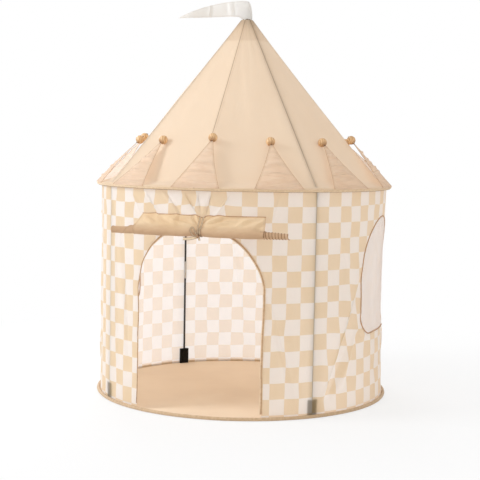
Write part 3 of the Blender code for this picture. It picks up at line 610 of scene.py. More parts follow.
# Dark brown of the balls' knots: partly the cord's own colour, partly painted shade in the balls' bores.
CORD_CLOTH = bias_binding("ball_cord", rgb(122, 84, 54), rgb(98, 64, 40))
EAVES_CLOTH = bias_binding("eaves_binding", rgb(238, 211, 176), rgb(222, 192, 154))
# Dark brown of the seam under the eaves hem, deepened into painted shadow of the hem.
SEAM_SHADOW_CLOTH = bias_binding("eaves_seam", rgb(152, 120, 86), rgb(136, 104, 72))
# Brown of rolled and bound edges; on the flaps it is partly the hem's own colour and partly painted shade along
# their edges.
EDGE_CLOTH = bias_binding("flap_edging", rgb(220, 186, 152), rgb(200, 163, 129))
WOUND_CLOTH = bias_binding("wound_binding", rgb(168, 124, 88), rgb(146, 104, 70))
NET = net()
WEBBING = webbing()
ROD = rod_finish()
FERRULE = ferrule_finish()
PLASTIC = plastic("black_plastic", rgb(36, 36, 36), rgb(46, 45, 44))
WOOD = wood()
PALE_ROD = glass_fibre()


# Walls


WALL_FOLDS = (        # angle and height of both ends, width and depth of the ridge, and how far cloth is drawn to it
    ((47.5, 0.03), (71.5, 0.55), 0.013, 0.0070, 0.0150),
    ((52.5, 0.05), (62.0, 0.24), 0.010, -0.0060),
    ((58.0, 0.08), (70.0, 0.36), 0.010, 0.0060),
    ((64.0, 0.30), (80.0, 0.24), 0.012, 0.0050),
    ((84.0, 0.05), (79.0, 0.24), 0.010, 0.0060),
    ((56.0, 0.66), (66.0, 0.44), 0.013, 0.0035),
    ((112.0, 0.12), (99.0, 0.30), 0.011, 0.0060),
    ((126.0, 0.10), (120.0, 0.66), 0.012, 0.0050),
    ((-40.0, 0.75), (-38.5, 0.06), 0.010, 0.0080),
    ((-50.5, 0.72), (-52.5, 0.10), 0.012, -0.0080),
    ((-35.5, 0.66), (-30.5, 0.16), 0.010, -0.0050),
    ((-57.0, 0.62), (-63.0, 0.22), 0.012, 0.0060),
    ((-30.0, 0.775), (-24.0, 0.69), 0.008, 0.0040),
    ((-22.0, 0.775), (-15.0, 0.69), 0.007, 0.0075),
    ((-13.0, 0.778), (-6.0, 0.69), 0.007, -0.0075),
    ((-5.0, 0.776), (1.0, 0.69), 0.006, 0.0080),
    ((0.5, 0.776), (2.0, 0.70), 0.005, -0.0060),
    ((6.0, 0.776), (3.5, 0.69), 0.006, -0.0070),
    ((14.0, 0.778), (7.0, 0.69), 0.008, 0.0070),
    ((31.0, 0.775), (27.0, 0.66), 0.009, 0.0035),
    ((27.0, 0.42), (38.0, 0.08), 0.012, 0.0045),
    ((-64.0, 0.66), (-74.0, 0.70), 0.009, 0.0050),
    ((-62.0, 0.12), (-74.0, 0.27), 0.011, 0.0065),
    ((160.0, 0.10), (172.0, 0.62), 0.013, 0.0050),
    ((205.0, 0.70), (196.0, 0.14), 0.013, 0.0050),
    ((148.0, 0.66), (153.0, 0.30), 0.012, -0.0045),
)


TAUT_MIDDLE, TAUT_HALF = math.radians(18), 0.55         # the front of the wall hangs smoother
WINDOW_REACH = 0.018                                        # how far its piping holds the cloth
DOOR_CENTRE, WINDOW_CENTRE = (0.0, 0.33), (0.0, 0.46)       # from where a panel's rays spread
DOOR_RAYS, WINDOW_RAYS, PANEL_ROWS = 330, 361, 34
TAPE_RADIUS, CORD_RADIUS, CORD_PROUD = 0.0048, 0.0019, 0.0016


def off_pole(angle):
    """Nothing at a pole, one midway between two."""
    return np.abs(np.mod(angle / QUARTER, 1.0) - 0.5) * 2


def by_window(angle, height):
    """One on the piping of a window, falling to nothing a few centimetres from it."""
    outline = arch(WINDOW, fine=24)
    near = 0.0
    for middle in (-QUARTER, QUARTER):
        beside = np.mod(angle - middle + math.pi, 2 * math.pi) - math.pi
        apart = np.hypot(beside[..., None] * WALL_OUTER - outline[:, 0], height[..., None] - outline[:, 1])
        near = np.maximum(near, np.exp(-(apart.min(-1) / WINDOW_REACH) ** 2))
    return near


def wall_wrinkle(angle, height):
    """How far the wall's cloth stands out of its smooth shape, and is drawn sideways and upwards."""
    angle, height = np.broadcast_arrays(angle, height)
    across = angle * WALL_OUTER
    apart = off_pole(angle)
    loose = 0.4 + 0.6 * smooth((np.abs(angle - TAUT_MIDDLE) - TAUT_HALF) / 0.45)
    out = 0.0014 * ripple(across, height * 0.6, 0.11, 3) + 0.0010 * ripple(across, height, 0.045, 8) * loose
    out = out + 0.0026 * np.sin(across / 0.018 + 4 * height) * np.exp(-(apart / 0.20) ** 2)
    sideways = 0.0052 * ripple(across * 0.8, height * 0.9, 0.14, 5) + 0.0014 * ripple(across, height, 0.06, 9)
    sideways = sideways * loose
    upwards = 0.0030 * ripple(across * 0.9, height * 0.8, 0.15, 6) * loose
    jamb = np.exp(-((across - DOOR["half"]) / 0.035) ** 2 - ((height - 0.44) / 0.10) ** 2)
    sideways = sideways + 0.0050 * jamb
    for (first, low), (last, high), width, depth, *pull in WALL_FOLDS:
        start = (math.radians(first) * WALL_OUTER, low)
        end = (math.radians(last) * WALL_OUTER, high)
        turned = across
        if first < -90:
            turned = across - 2 * math.pi * WALL_OUTER
        out = out + crease(turned, height, start, end, width, depth)
        drawn = gather(turned, height, start, end, width, *pull or [depth])
        sideways, upwards = sideways + drawn[0], upwards + drawn[1]
    held = smooth(height / 0.05) * smooth((WALL_TOP - height) / 0.03)
    held = held * (0.15 + 0.85 * smooth(apart / 0.035)) * (1 - 0.55 * by_window(angle, height))
    tight = held * smooth(apart / 0.10) * (1 - 0.5 * by_window(angle, height))
    return out * held, sideways * tight, upwards * tight


def wall_place(angle, height, lift=0.0):
    """Points on the wall's cloth."""
    out, sideways, upwards = wall_wrinkle(angle, height)
    waist = np.sin(math.pi * (height - WALL_FOOT) / (WALL_TOP - WALL_FOOT))
    radius = WALL_OUTER - WALL_WAIST * waist * np.cos(2 * angle) ** 2
    return polar(radius + out + lift, angle + sideways / WALL_OUTER, height + upwards)


def arch(shape, inset=0.0, fine=40):
    """Outline of a doorway or window on the unrolled wall, from its left foot over the top."""
    half, foot = shape["half"] - inset, shape["foot"] + (inset if shape["corner"] else 0.0)
    corner = max(shape["corner"] - inset, 0.0)
    points = []
    if corner:
        for turn in np.linspace(-QUARTER, -math.pi, fine // 4):
            points.append((corner - half + corner * math.cos(turn), foot + corner + corner * math.sin(turn)))
    else:
        points.append((-half, foot))
    for height in np.linspace(foot + corner, shape["spring"], fine // 2)[1:-1]:
        points.append((-half, height))
    for turn in np.linspace(math.pi, 0.0, 2 * fine):
        points.append((half * math.cos(turn), shape["spring"] + (shape["rise"] - inset) * math.sin(turn)))
    mirrored = [(-across, height) for across, height in reversed(points[:len(points) - 2 * fine])]
    points += mirrored
    if corner:
        for across in np.linspace(half - corner, corner - half, fine // 2)[1:]:
            points.append((across, foot))
    return np.array(points)


def ray_lengths(outline, centre, turns):
    """Distances from a centre to an outline, in the directions of some turns."""
    apart = outline - np.array(centre)
    angles = np.arctan2(apart[:, 0], apart[:, 1])
    order = np.argsort(angles)
    return np.interp(turns, angles[order], np.hypot(*apart.T)[order])


def box_lengths(half, low, high, centre, turns):
    """Distances from a centre to the edge of a panel, in the directions of some turns."""
    sine, cosine = np.sin(turns), np.cos(turns)
    with np.errstate(divide="ignore"):
        sideways = half / np.abs(sine)
        upright = np.where(cosine > 0, (high - centre[1]) / np.abs(cosine), (centre[1] - low) / np.abs(cosine))
    return np.minimum(sideways, upright)


def open_panel(name, shape, middle, centre, turns):
    """Wall panel with a doorway or window in it, from rays about a centre."""
    half = PANEL_WIDTH / 2
    inner = ray_lengths(arch(shape), centre, turns)
    outer = box_lengths(half, WALL_FOOT, WALL_TOP, centre, turns)
    share = np.linspace(0, 1, PANEL_ROWS)[:, None] ** 1.15
    length = inner + (outer - inner) * share
    across = centre[0] + length * np.sin(turns)
    height = np.clip(centre[1] + length * np.cos(turns), WALL_FOOT, WALL_TOP)
    angle = math.radians(middle) + across / WALL_OUTER
    points = wall_place(angle, height)
    edge = np.minimum(length - inner, np.minimum(WALL_TOP - height, height - WALL_FOOT) + 0.002)
    cloth = (across + math.radians(middle) * WALL_OUTER, height)
    return grid_piece(name, points, CHECKED, cloth, (edge, edge), flip=True)


def corner_turns(half, low, high, centre):
    return [math.atan2(side * half, level - centre[1]) for side in (-1, 1) for level in (low, high)]


def build_walls():
    """Four checked panels, the bound doorway, and the two net windows."""
    half = PANEL_WIDTH / 2
    foot = math.atan2(DOOR["half"], -DOOR_CENTRE[1] + WALL_FOOT) - 0.002
    corners = [turn for turn in corner_turns(half, WALL_FOOT, WALL_TOP, DOOR_CENTRE) if abs(turn) < foot]
    turns = np.sort(np.append(np.linspace(-foot, foot, DOOR_RAYS), corners))
    front = open_panel("wall_front_cloth", DOOR, 0.0, DOOR_CENTRE, turns)
    dress(front, "tent", "wall_front")
    outline = arch(DOOR)
    outline = outline[outline[:, 1] > 2 * BASE_HEM + PIPING]
    path = wall_place(outline[:, 0] / WALL_OUTER, outline[:, 1])
    out = path * (1, 1, 0)
    drawn = smooth((outline[:, 0] / DOOR["half"] + 1) / 0.5)
    tape = tube("doorway_binding", path, TAPE_RADIUS * (0.4 + 0.6 * drawn), EAVES_CLOTH, reference=out, squeeze=0.4)
    dress(tape, "tent", "wall_front")
    proud = out / np.linalg.norm(out, axis=1)[:, None] * CORD_PROUD
    piping = tube("doorway_piping", path + proud, CORD_RADIUS * (0.55 + 0.45 * drawn), PIPING_CLOTH, reference=out)
    dress(piping, "tent", "wall_front")

    window_area = 2 * WINDOW["half"] * (WINDOW["spring"] - WINDOW["foot"])
    window_area += QUARTER * WINDOW["half"] * WINDOW["rise"] - (2 - QUARTER) * WINDOW["corner"] ** 2
    for side, middle in (("right", 90.0), ("left", -90.0)):
        turns = np.sort(np.append(np.linspace(-math.pi, math.pi, WINDOW_RAYS),
                                  corner_turns(half, WALL_FOOT, WALL_TOP, WINDOW_CENTRE)))
        panel = open_panel(f"wall_{side}_cloth", WINDOW, middle, WINDOW_CENTRE, turns)
        dress(panel, "tent", f"wall_{side}")
        outline = arch(WINDOW, 0.002)[:-1]
        path = wall_place(math.radians(middle) + outline[:, 0] / WALL_OUTER, outline[:, 1])
        piping = tube(f"window_{side}_piping", path, PIPING * 0.9, PIPING_CLOTH, closed=True,
                      reference=path * (1, 1, 0))
        dress(piping, "tent", f"window_{side}")
        pane = window_pane(side, middle)

    across = np.linspace(-half, half, 113)[None]
    height = np.linspace(WALL_FOOT, WALL_TOP, 105)[:, None]
    angle = math.pi + across / WALL_OUTER
    edge = np.minimum(WALL_TOP - height, height - WALL_FOOT) + 0.002
    back = grid_piece("wall_back_cloth", wall_place(angle, height), CHECKED,
                      (across + math.pi * WALL_OUTER, height), (edge, edge))
    dress(back, "tent", "wall_back")


def window_pane(side, middle):
    """Net of a window, a little slack between its piped edges."""
    tall = WINDOW["spring"] + WINDOW["rise"] - WINDOW["foot"]
    rows = WINDOW["foot"] + tall * (1 - np.cos(np.linspace(0.02, math.pi - 0.02, 64))) / 2
    width = []
    for level in rows:
        if level > WINDOW["spring"]:
            lift = min((level - WINDOW["spring"]) / WINDOW["rise"], 1.0)
            width.append(WINDOW["half"] * math.sqrt(1 - lift ** 2))
        else:
            drop = max(WINDOW["foot"] + WINDOW["corner"] - level, 0.0)
            width.append(WINDOW["half"] - WINDOW["corner"] + math.sqrt(WINDOW["corner"] ** 2 - drop ** 2))
    width = np.array(width)[:, None]
    share = np.linspace(-1, 1, 58)[None]
    across = width * share
    height = rows[:, None]
    slack = (1 - share ** 2) * np.minimum(1, (width / WINDOW["half"]))
    puff = 0.0030 * slack * ripple(across * 1.6, height * 0.5, 0.10, 21)
    angle = math.radians(middle) + across / WALL_OUTER
    points = wall_place(angle, height) + (puff - 0.002 * slack)[..., None] * polar(1.0, angle, 0.0)
    edge = np.minimum(width - np.abs(across), 1.0)
    pane = grid_piece(f"window_{side}_net", points, NET,
                      (across + math.radians(middle) * WALL_OUTER, height), (edge, edge))
    return dress(pane, "tent", f"window_{side}")


# Hems, floor and roof


def hem_ring(name, radius, height, thickness, look, seed):
    """Tube of binding round the tent, slightly uneven where it is gathered."""
    turn = np.linspace(0, 2 * math.pi, 361)[:-1]
    path = polar(radius + 0.0006 * ripple(turn * radius, 0.0, 0.09, seed), turn,
                 height + 0.0003 * ripple(turn * radius, 0.0, 0.2, seed + 1))
    girth = thickness * (1 + 0.035 * ripple(turn * radius, 0.0, 0.03, seed + 2))
    return tube(name, path, np.append(girth, girth[0]), look, closed=True)


def build_floor():
    """Floor sheet with its slight waves, and the hem that holds the floor hoop."""
    radius = FLOOR_EDGE * np.sqrt(np.linspace(0, 1, 70))[:, None]
    turn = np.linspace(0, 2 * math.pi, 193)[None]
    across, along = radius * np.sin(turn), -radius * np.cos(turn)
    slack = smooth(radius / FLOOR_EDGE * 1.2) * smooth((FLOOR_EDGE - radius) / 0.03)
    height = FLOOR_TOP + (0.0016 + 0.0016 * ripple(across, along, 0.26, 31)) * slack
    edge = FLOOR_EDGE - radius
    sheet = grid_piece("floor_cloth", np.stack([across, along, height], -1), FLOOR_CLOTH, (across, along),
                       (edge, edge))
    weld(sheet, 1e-5)
    dress(sheet, "tent", "floor_sheet")
    hem = hem_ring("floor_hem", BASE_RING, BASE_HEM, BASE_HEM - 0.0004, HEM_CLOTH, 41)
    dress(hem, "tent", "base_hem")


GORE = QUARTER / 2
ROOF_SAG = 0.006
GORE_FLATNESS = 0.9
GORE_RIDGE = 0.0030
BALL_DENT, BALL_SHARE = 0.0009, 0.256        # room under the balls, and how far up the roof they lie
LAP_RADIUS = EAVES_HEM + 0.0012             # of the cloth where it turns down over the hem
LAP_STEPS = 5
RIPPLE_CIRCLE, CLOTH_CIRCLE = 0.45, 0.35    # circles on which the roof's wrinkles and its weave are laid out


def roof_place(angle, share):
    """Points on the roof's cloth: round at the eaves, with flat gores from just above them."""
    off = np.mod(angle, GORE) - GORE / 2
    radius = ROOF_FOOT - ROOF_RUN * share
    chord = radius * (1 - math.cos(GORE / 2) / np.cos(off))
    flat = GORE_FLATNESS * smooth(share / 0.07) * smooth((1 - share) / 0.1)
    sag = ROOF_SAG * 4 * share * (1 - share) * np.cos(2 * angle) ** 2
    across = angle * RIPPLE_CIRCLE
    wrinkle = 0.0020 * ripple(across * 1.3, share * 0.22, 0.11, 51) * smooth((1 - share) / 0.1)
    gathers = 0.0016 * ripple(across, share * 0.10, 0.034, 53) * smooth((0.16 - share) / 0.12)
    pulled = np.abs(np.sin(4 * angle)) ** 0.5
    beside = (off - 0.05 * np.sin(2.4 * np.floor(angle / GORE))) * radius / 0.030
    ridge = GORE_RIDGE * np.exp(-beside ** 2) * smooth((share - 0.29) / 0.22) * smooth((0.86 - share) / 0.3)
    dent = BALL_DENT * np.cos(6 * angle) ** 8 * np.exp(-((share - BALL_SHARE) / 0.05) ** 2)
    wrinkles = (wrinkle + gathers) * smooth(share / 0.03) * pulled
    depth = chord * flat * math.sin(ROOF_SLOPE) + sag + dent - wrinkles - ridge
    height = EAVES_HEIGHT + (APEX_HEIGHT - EAVES_HEIGHT) * share
    return polar(radius - depth * math.sin(ROOF_SLOPE), angle, height - depth * math.cos(ROOF_SLOPE))


def build_roof():
    """Roof cloth with its eight gores, the hem at the eaves, and a seam under the hem darkened with painted shadow.
    """
    slope = math.hypot(ROOF_RUN, APEX_HEIGHT - EAVES_HEIGHT)
    within = np.concatenate([[0, 0.012, 0.03, 0.06], np.linspace(0.10, 0.90, 15), [0.94, 0.97, 0.988]])
    turns = np.concatenate([GORE * (number + within) for number in range(-4, 4)] + [[math.pi]])[None]
    start = (ROOF_START + 0.004 - EAVES_HEIGHT) / (APEX_HEIGHT - EAVES_HEIGHT)
    share = start + (1 - start) * np.linspace(0, 1, 120)[:, None] ** 1.3
    points = roof_place(turns, share)
    lap = []
    for step in np.linspace(0, 1, LAP_STEPS + 1)[:-1]:
        turn = math.radians(15 + 60 * step)
        lap.append(polar(EAVES_RING + LAP_RADIUS * math.cos(turn) * (1 - step * 0.3), turns[0],
                         EAVES_HEIGHT + LAP_RADIUS * math.sin(turn) * 1.1))
    points = np.concatenate([np.array(lap), points])
    share = np.concatenate([np.linspace(start - 0.02, start, LAP_STEPS + 1)[:-1, None], share])
    radius = ROOF_FOOT - ROOF_RUN * share
    pole = np.abs(np.mod(turns / QUARTER, 1.0) - 0.5) * QUARTER * radius
    seam = np.abs(np.mod(turns / QUARTER + 0.5, 1.0) - 0.5) * QUARTER * radius
    canopy = grid_piece("roof_cloth", points, ROOF_CLOTH, (turns * CLOTH_CIRCLE, share * slope), (pole, seam))
    dress(canopy, "tent", "roof_canopy")
    hem = hem_ring("eaves_hem_cloth", EAVES_RING, EAVES_HEIGHT, EAVES_HEM - 0.0002, EAVES_CLOTH, 61)
    dress(hem, "tent", "eaves_hem")
    # Thin dark tube under the eaves hem: a seam, darkened as painted shadow where the hem overhangs the wall.
    seam = hem_ring("eaves_seam", EAVES_RING, EAVES_HEIGHT - EAVES_HEM + 0.0006, 0.0012, SEAM_SHADOW_CLOTH, 62)
    dress(seam, "tent", "eaves_hem")


# Frame of poles


ROD_RADIUS, CHAMFER = 0.004, 0.0006
SLEEVE_RADIUS, SLEEVE_LENGTH = 0.0055, 0.072
SLEEVE_GROOVES = (0.006, 0.014, 0.056, 0.064)                   # places along the sleeve
GROOVE = ((-0.0012, 0.0), (-0.0004, 0.0006), (0.0004, 0.0006), (0.0012, 0.0))       # place across it and depth
ELBOW_LEG, ELBOW_SOCKET, ELBOW_BEND = 0.030, 0.0065, 0.008
ELBOW_WAIST = ELBOW_SOCKET - 0.0007
BEND_STEPS = 9
POCKET_HALF, POCKET_DEPTH, POCKET_TUCK = 0.0195, 0.0052, 0.02
POCKET_MOUTH = 0.86             # share of its size that the cloth turned in at the top has


def build_frame():
    """Rods, ferrules, elbows, hub and pockets of the pole frame."""
    for number in range(1, 5):
        angle, circle = build_wall_pole(number)
        build_elbow(number, angle, circle)
        build_roof_rod(number, angle)
        build_pocket(number, angle, circle)
    for node, look in (("base_hoop", PALE_ROD), ("eaves_hoop", PALE_ROD), ("top_hub", PLASTIC)):
        finish = frame["nodes"][node].data.materials
        finish.clear()
        finish.append(look)


def build_wall_pole(number):
    """Lower rod with its grooved sleeve, and the upper rod. Gives the pole's angle and distance from the axis."""
    low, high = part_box(f"wall_pole_lower_{number}")
    upper_low, upper_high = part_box(f"wall_pole_upper_{number}")
    centre = (low + high) / 2
    length = high.z - low.z
    start = length - SLEEVE_LENGTH
    lower = [(0, END_RADIUS), (0, ROD_RADIUS - CHAMFER), (CHAMFER, ROD_RADIUS), (start + 0.002, ROD_RADIUS)]
    sleeve = [(start, ROD_RADIUS), (start, SLEEVE_RADIUS - 0.0005), (start + 0.0005, SLEEVE_RADIUS)]
    for groove in SLEEVE_GROOVES:
        sleeve += [(start + groove + place, SLEEVE_RADIUS - depth) for place, depth in GROOVE]
    sleeve += [(length - CHAMFER, SLEEVE_RADIUS), (length, SLEEVE_RADIUS - CHAMFER), (length, ROD_RADIUS + 0.0004)]
    foot, top = upper_low.z - low.z, upper_high.z - low.z
    upper = [(foot, END_RADIUS), (foot, ROD_RADIUS), (top - CHAMFER, ROD_RADIUS), (top, ROD_RADIUS - CHAMFER),
             (top, END_RADIUS)]
    for name, profile, look, half in (("lower_rod", lower, ROD, "lower"), ("ferrule", sleeve, FERRULE, "lower"),
                                      ("upper_rod", upper, ROD, "upper")):
        piece = turned(f"{name}_{number}", (centre.x, centre.y, low.z), (0, 0, 1), profile, look)
        dress(piece, "tent", f"wall_pole_{half}_{number}")
    return math.atan2(centre.x, -centre.y), math.hypot(centre.x, centre.y)


def build_elbow(number, angle, circle):
    """Moulded elbow between a wall pole and a roof pole, with a collar at each mouth."""
    corner = polar(circle, angle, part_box(f"eaves_elbow_{number}")[0].z + ELBOW_LEG)
    slope = polar(-math.cos(ROOF_SLOPE), angle, math.sin(ROOF_SLOPE))
    up = np.array([0.0, 0.0, 1.0])
    mouth = [(ELBOW_LEG, ELBOW_SOCKET), (ELBOW_LEG - 0.004, ELBOW_SOCKET), (ELBOW_LEG - 0.005, ELBOW_WAIST),
             (0.010, ELBOW_WAIST)]
    path = [corner - up * distance for distance, _ in mouth]
    for share in np.linspace(0, 1, BEND_STEPS):
        path.append((corner - up * ELBOW_BEND) * (1 - share) ** 2 + corner * 2 * share * (1 - share)
                    + (corner + slope * ELBOW_BEND) * share ** 2)
    path += [corner + slope * distance for distance, _ in mouth[::-1]]
    girth = [radius for _, radius in mouth]
    girth += [ELBOW_WAIST] * BEND_STEPS + girth[::-1]
    elbow = tube(f"elbow_{number}", path, girth, PLASTIC, sides=20, reference=polar(1.0, angle + QUARTER, 0.0))
    dress(elbow, "tent", f"eaves_elbow_{number}")


def build_roof_rod(number, angle):
    """Rod under the roof's cloth, from an elbow to the hub."""
    low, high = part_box(f"roof_pole_{number}")
    outer, inner = (math.hypot(pick(abs(low.x), abs(high.x)), pick(abs(low.y), abs(high.y)))
                    for pick in (max, min))
    inset, rise = ROD_RADIUS * math.sin(ROOF_SLOPE), ROD_RADIUS * math.cos(ROOF_SLOPE)
    start = Vector(polar(outer - inset, angle, low.z + rise))
    end = Vector(polar(inner + inset, angle, high.z - rise))
    length = (end - start).length
    shaft = [(0, END_RADIUS), (0, ROD_RADIUS), (length, ROD_RADIUS), (length, END_RADIUS)]
    dress(turned(f"roof_rod_{number}", start, end - start, shaft, ROD), "tent", f"roof_pole_{number}")


def build_pocket(number, angle, circle):
    """Foot pocket: a folded square of webbing round the rod, open at the top."""
    low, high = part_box(f"pole_pocket_{number}")
    rows = np.linspace(low.z, high.z, 18)[:, None]
    turn = np.linspace(0, 2 * math.pi, 65)[None]
    wide = np.sign(np.cos(turn)) * np.abs(np.cos(turn)) ** 0.45 * POCKET_HALF
    deep = np.sign(np.sin(turn)) * np.abs(np.sin(turn)) ** 0.7 * POCKET_DEPTH
    swell = 1 + 0.05 * np.sin(math.pi * (rows - low.z) / (high.z - low.z))
    side, outward = polar(1.0, angle + QUARTER, 0.0), polar(1.0, angle, 0.0)
    foot = polar(circle, angle, 0.0)
    points = foot + wide[..., None] * side + (deep * swell)[..., None] * outward
    points[..., 2] = rows

    def shrunk(row, share, drop=0.0):
        """One row of points drawn towards the rod and moved down."""
        row = row.copy()
        row[..., :2] = foot[:2] + (row[..., :2] - foot[:2]) * share
        row[..., 2] -= drop
        return row

    points = np.concatenate([shrunk(points[:1], 0.02), points, shrunk(points[-1:], POCKET_MOUTH),
                             shrunk(points[-1:], POCKET_MOUTH, POCKET_TUCK)])
    levels = np.concatenate([rows[:1] - POCKET_TUCK, rows, rows[-1:] + 0.002, rows[-1:] + POCKET_TUCK])
    edge = np.minimum(high.z - levels, POCKET_HALF - np.abs(wide))
    pocket = weld(grid_piece(f"pocket_{number}", points, WEBBING, (wide, levels), (edge, edge)))
    dress(pocket, "tent", f"pole_pocket_{number}")


# Crown of flaps


FLAP = {"half": 0.085, "tip": 0.004, "length": 0.208, "bend": 0.9}
FLAP_CREASES = 10
BALL_RADIUS, BALL_BORE = 0.016, 0.0036
KNOT_RADIUS, KNOT_CORD, KNOT_STEPS = 0.0020, 0.0011, 30


def build_crown():
    """Twelve flaps on their seams, each with a wooden ball at its tip."""
    hinges = {joint["child"]: joint for joint in frame["joints"]}
    for number in range(1, 13):
        body = f"crown_point_{number:02d}"
        hinge = Vector(hinges[body]["pos_m"])
        angle = math.atan2(hinge.x, -hinge.y)
        low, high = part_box(f"crown_ball_{number:02d}")
        ball = (low + high) / 2
        side = Vector(polar(1.0, angle + QUARTER, 0.0))
        lean = (ball - hinge).dot(side)
        reach = ball - hinge - side * lean
        along = reach.normalized()
        out = side.cross(along)
        build_flap(number, body, hinge, side, along, out, lean)
        build_ball(number, body, ball, along)


def build_flap(number, body, hinge, side, along, out, lean):
    """Triangular flap with creases across it, and its rolled edges."""
    share = np.linspace(0, 1, 42)[:, None]
    part = np.linspace(-1, 1, 31)[None]
    radius = math.hypot(hinge.x, hinge.y)
    half = FLAP["half"] + (FLAP["tip"] - FLAP["half"]) * share
    half = half - 0.004 * np.sin(math.pi * share)
    across = half * part
    inward = FLAP["bend"] * across ** 2 / (2 * radius)
    length = FLAP["length"] * share
    draw = np.random.default_rng(100 + number)
    wave = 0.0012 * ripple(across, length, 0.05, number)
    for step in range(FLAP_CREASES):
        level = 0.012 + 0.016 * step + draw.uniform(-0.005, 0.005)
        tilt = draw.uniform(-0.16, 0.16)
        depth = draw.uniform(0.0036, 0.0064) * draw.choice((-0.6, 1.0))
        width = draw.uniform(0.0048, 0.0088)
        reach = draw.uniform(0.04, 0.08)
        shift = draw.uniform(-0.03, 0.03)
        wave = wave + crease(across, length, (shift - reach, level - tilt * reach),
                             (shift + reach, level + tilt * reach), width, depth)
    belly = 0.005 * np.sin(math.pi * share) * (1 - part ** 2)
    curl = draw.uniform(-0.002, 0.004) * part ** 2 * np.sin(math.pi * share)
    wave = (wave * (1 - 0.85 * part ** 4) + belly + curl) * smooth(share / 0.08) * smooth((1 - share) / 0.06)
    slope_sin, slope_cos = along.z, math.hypot(along.x, along.y)
    places = (np.array(hinge) + (across + lean * share)[..., None] * np.array(side)
              + (length + inward * slope_cos)[..., None] * np.array(along)
              + (wave - inward * slope_sin)[..., None] * np.array(out))
    edge = half - np.abs(across)
    flap = grid_piece(f"flap_{number:02d}", places, FLAP_CLOTH, (across, length), (edge, edge))
    dress(flap, body, f"crown_flap_{number:02d}")
    # Rolled edge in darker brown: partly the hem's own colour, partly painted shade along the flap's edges.
    path = np.concatenate([places[:, 0], places[::-1, -1]])
    rolled = tube(f"flap_edge_{number:02d}", path, 0.0008, EDGE_CLOTH, sides=6, reference=tuple(out))
    dress(rolled, body, f"crown_flap_{number:02d}")


def build_ball(number, body, centre, along):
    """Turned ball with a drilled hole, and the knot of the thread that holds it."""
    first = math.asin(BALL_BORE / BALL_RADIUS)
    hole, rim = BALL_BORE * 0.8, BALL_RADIUS * math.cos(first) - 0.0004
    profile = [(-0.006, hole), (-rim, hole)]
    for turn in np.linspace(first, math.pi - first, 26):
        profile.append((-BALL_RADIUS * math.cos(turn), BALL_RADIUS * math.sin(turn)))
    profile += [(rim, hole), (0.006, hole)]
    ball = turned(f"ball_{number:02d}", centre, along, profile, WOOD, sides=36)
    dress(ball, body, f"crown_ball_{number:02d}")
    # Knots at both ends of the bore, in a dark brown that is partly painted shade in the bore.
    turn = np.linspace(0, 4.2 * math.pi, KNOT_STEPS)
    side = along.orthogonal().normalized()
    other = np.array(along.cross(side))
    side = np.array(side)
    lift = np.linspace(-0.004, 0.0016, KNOT_STEPS)[:, None]
    for end, sign in (("top", 1), ("foot", -1)):
        path = side * (KNOT_RADIUS * np.cos(turn))[:, None] + other * (KNOT_RADIUS * np.sin(turn))[:, None]
        path = np.array(centre) + sign * (path + (BALL_RADIUS + lift) * np.array(along))
        knot = tube(f"ball_knot_{end}_{number:02d}", path, KNOT_CORD, CORD_CLOTH, sides=6, reference=tuple(along))
        dress(knot, body, f"crown_ball_{number:02d}")


# Door curtain


CURTAIN_HEIGHT = next(joint for joint in frame["joints"] if joint["name"] == "door_roll_swing")["pos_m"][2]
ROLL_LOW, ROLL_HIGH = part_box("door_curtain")
ROLL_RADIUS = 0.0185
ROLL_CENTRE = (ROLL_LOW.y + ROLL_RADIUS, ROLL_LOW.z + ROLL_RADIUS + 0.0005)
CORE_RADIUS = 0.0120
CORE_TIGHTENING = 0.0025
LOOSE_TURNS, TIGHT_TURNS = 1.5, 8.0
WEB_LEFT, WEB_RIGHT = -0.211, 0.250
HEADER = (math.radians(-22.8), math.radians(25.5))
TIE_PLACE = 0.025
HANG_ROWS, TURN_ROWS, CURTAIN_COLUMNS = 20, 26, 200


WEB_FOLDS = (         # both ends beside the tie and above the roll, width and depth of the ridge
    ((0.008, 0.020), (0.046, 0.044), 0.005, -0.0085),
    ((0.010, 0.004), (0.085, 0.040), 0.006, 0.0080),
    ((0.014, -0.004), (0.125, 0.018), 0.006, 0.0075),
    ((0.070, 0.034), (0.165, 0.038), 0.006, -0.0060),
    ((0.120, 0.000), (0.180, 0.034), 0.008, 0.0065),
    ((0.185, 0.002), (0.212, 0.030), 0.007, 0.0050),
    ((-0.008, 0.008), (-0.044, 0.044), 0.005, -0.0085),
    ((-0.012, -0.004), (-0.120, 0.018), 0.006, 0.0075),
    ((-0.060, 0.038), (-0.130, 0.030), 0.006, 0.0060),
    ((-0.095, 0.002), (-0.165, 0.036), 0.008, -0.0065),
    ((-0.170, 0.000), (-0.215, 0.024), 0.008, 0.0060),
)


def dress_sewn(piece, node):
    """Keeps a piece of the curtain fixed where it is built, in place of a node."""
    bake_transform(piece)
    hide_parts(node)
    return piece


def hanging_row(share, top, foot, start):
    """One row of the strip from the seam to the front of the roll, with folds that spread from the tie."""
    row = top + (foot - top) * share
    across = row[:, 0]
    level = CURTAIN_HEIGHT + (ROLL_CENTRE[1] - CURTAIN_HEIGHT) * share
    beside, above = across - TIE_PLACE, level - ROLL_CENTRE[1] - 0.012
    fold = 0.0020 * ripple(across, share * 0.06, 0.06, 71) - 0.004 * np.exp(-(beside / 0.030) ** 2)
    for first, last, width, height in WEB_FOLDS:
        fold = fold + crease(beside, above, first, last, width, height)
    proud = (fold - 0.001) * math.sin(math.pi * share ** 0.8)
    row[:, 1] -= proud * np.cos(start)
    row[:, 2] += proud * np.sin(start)
    return row


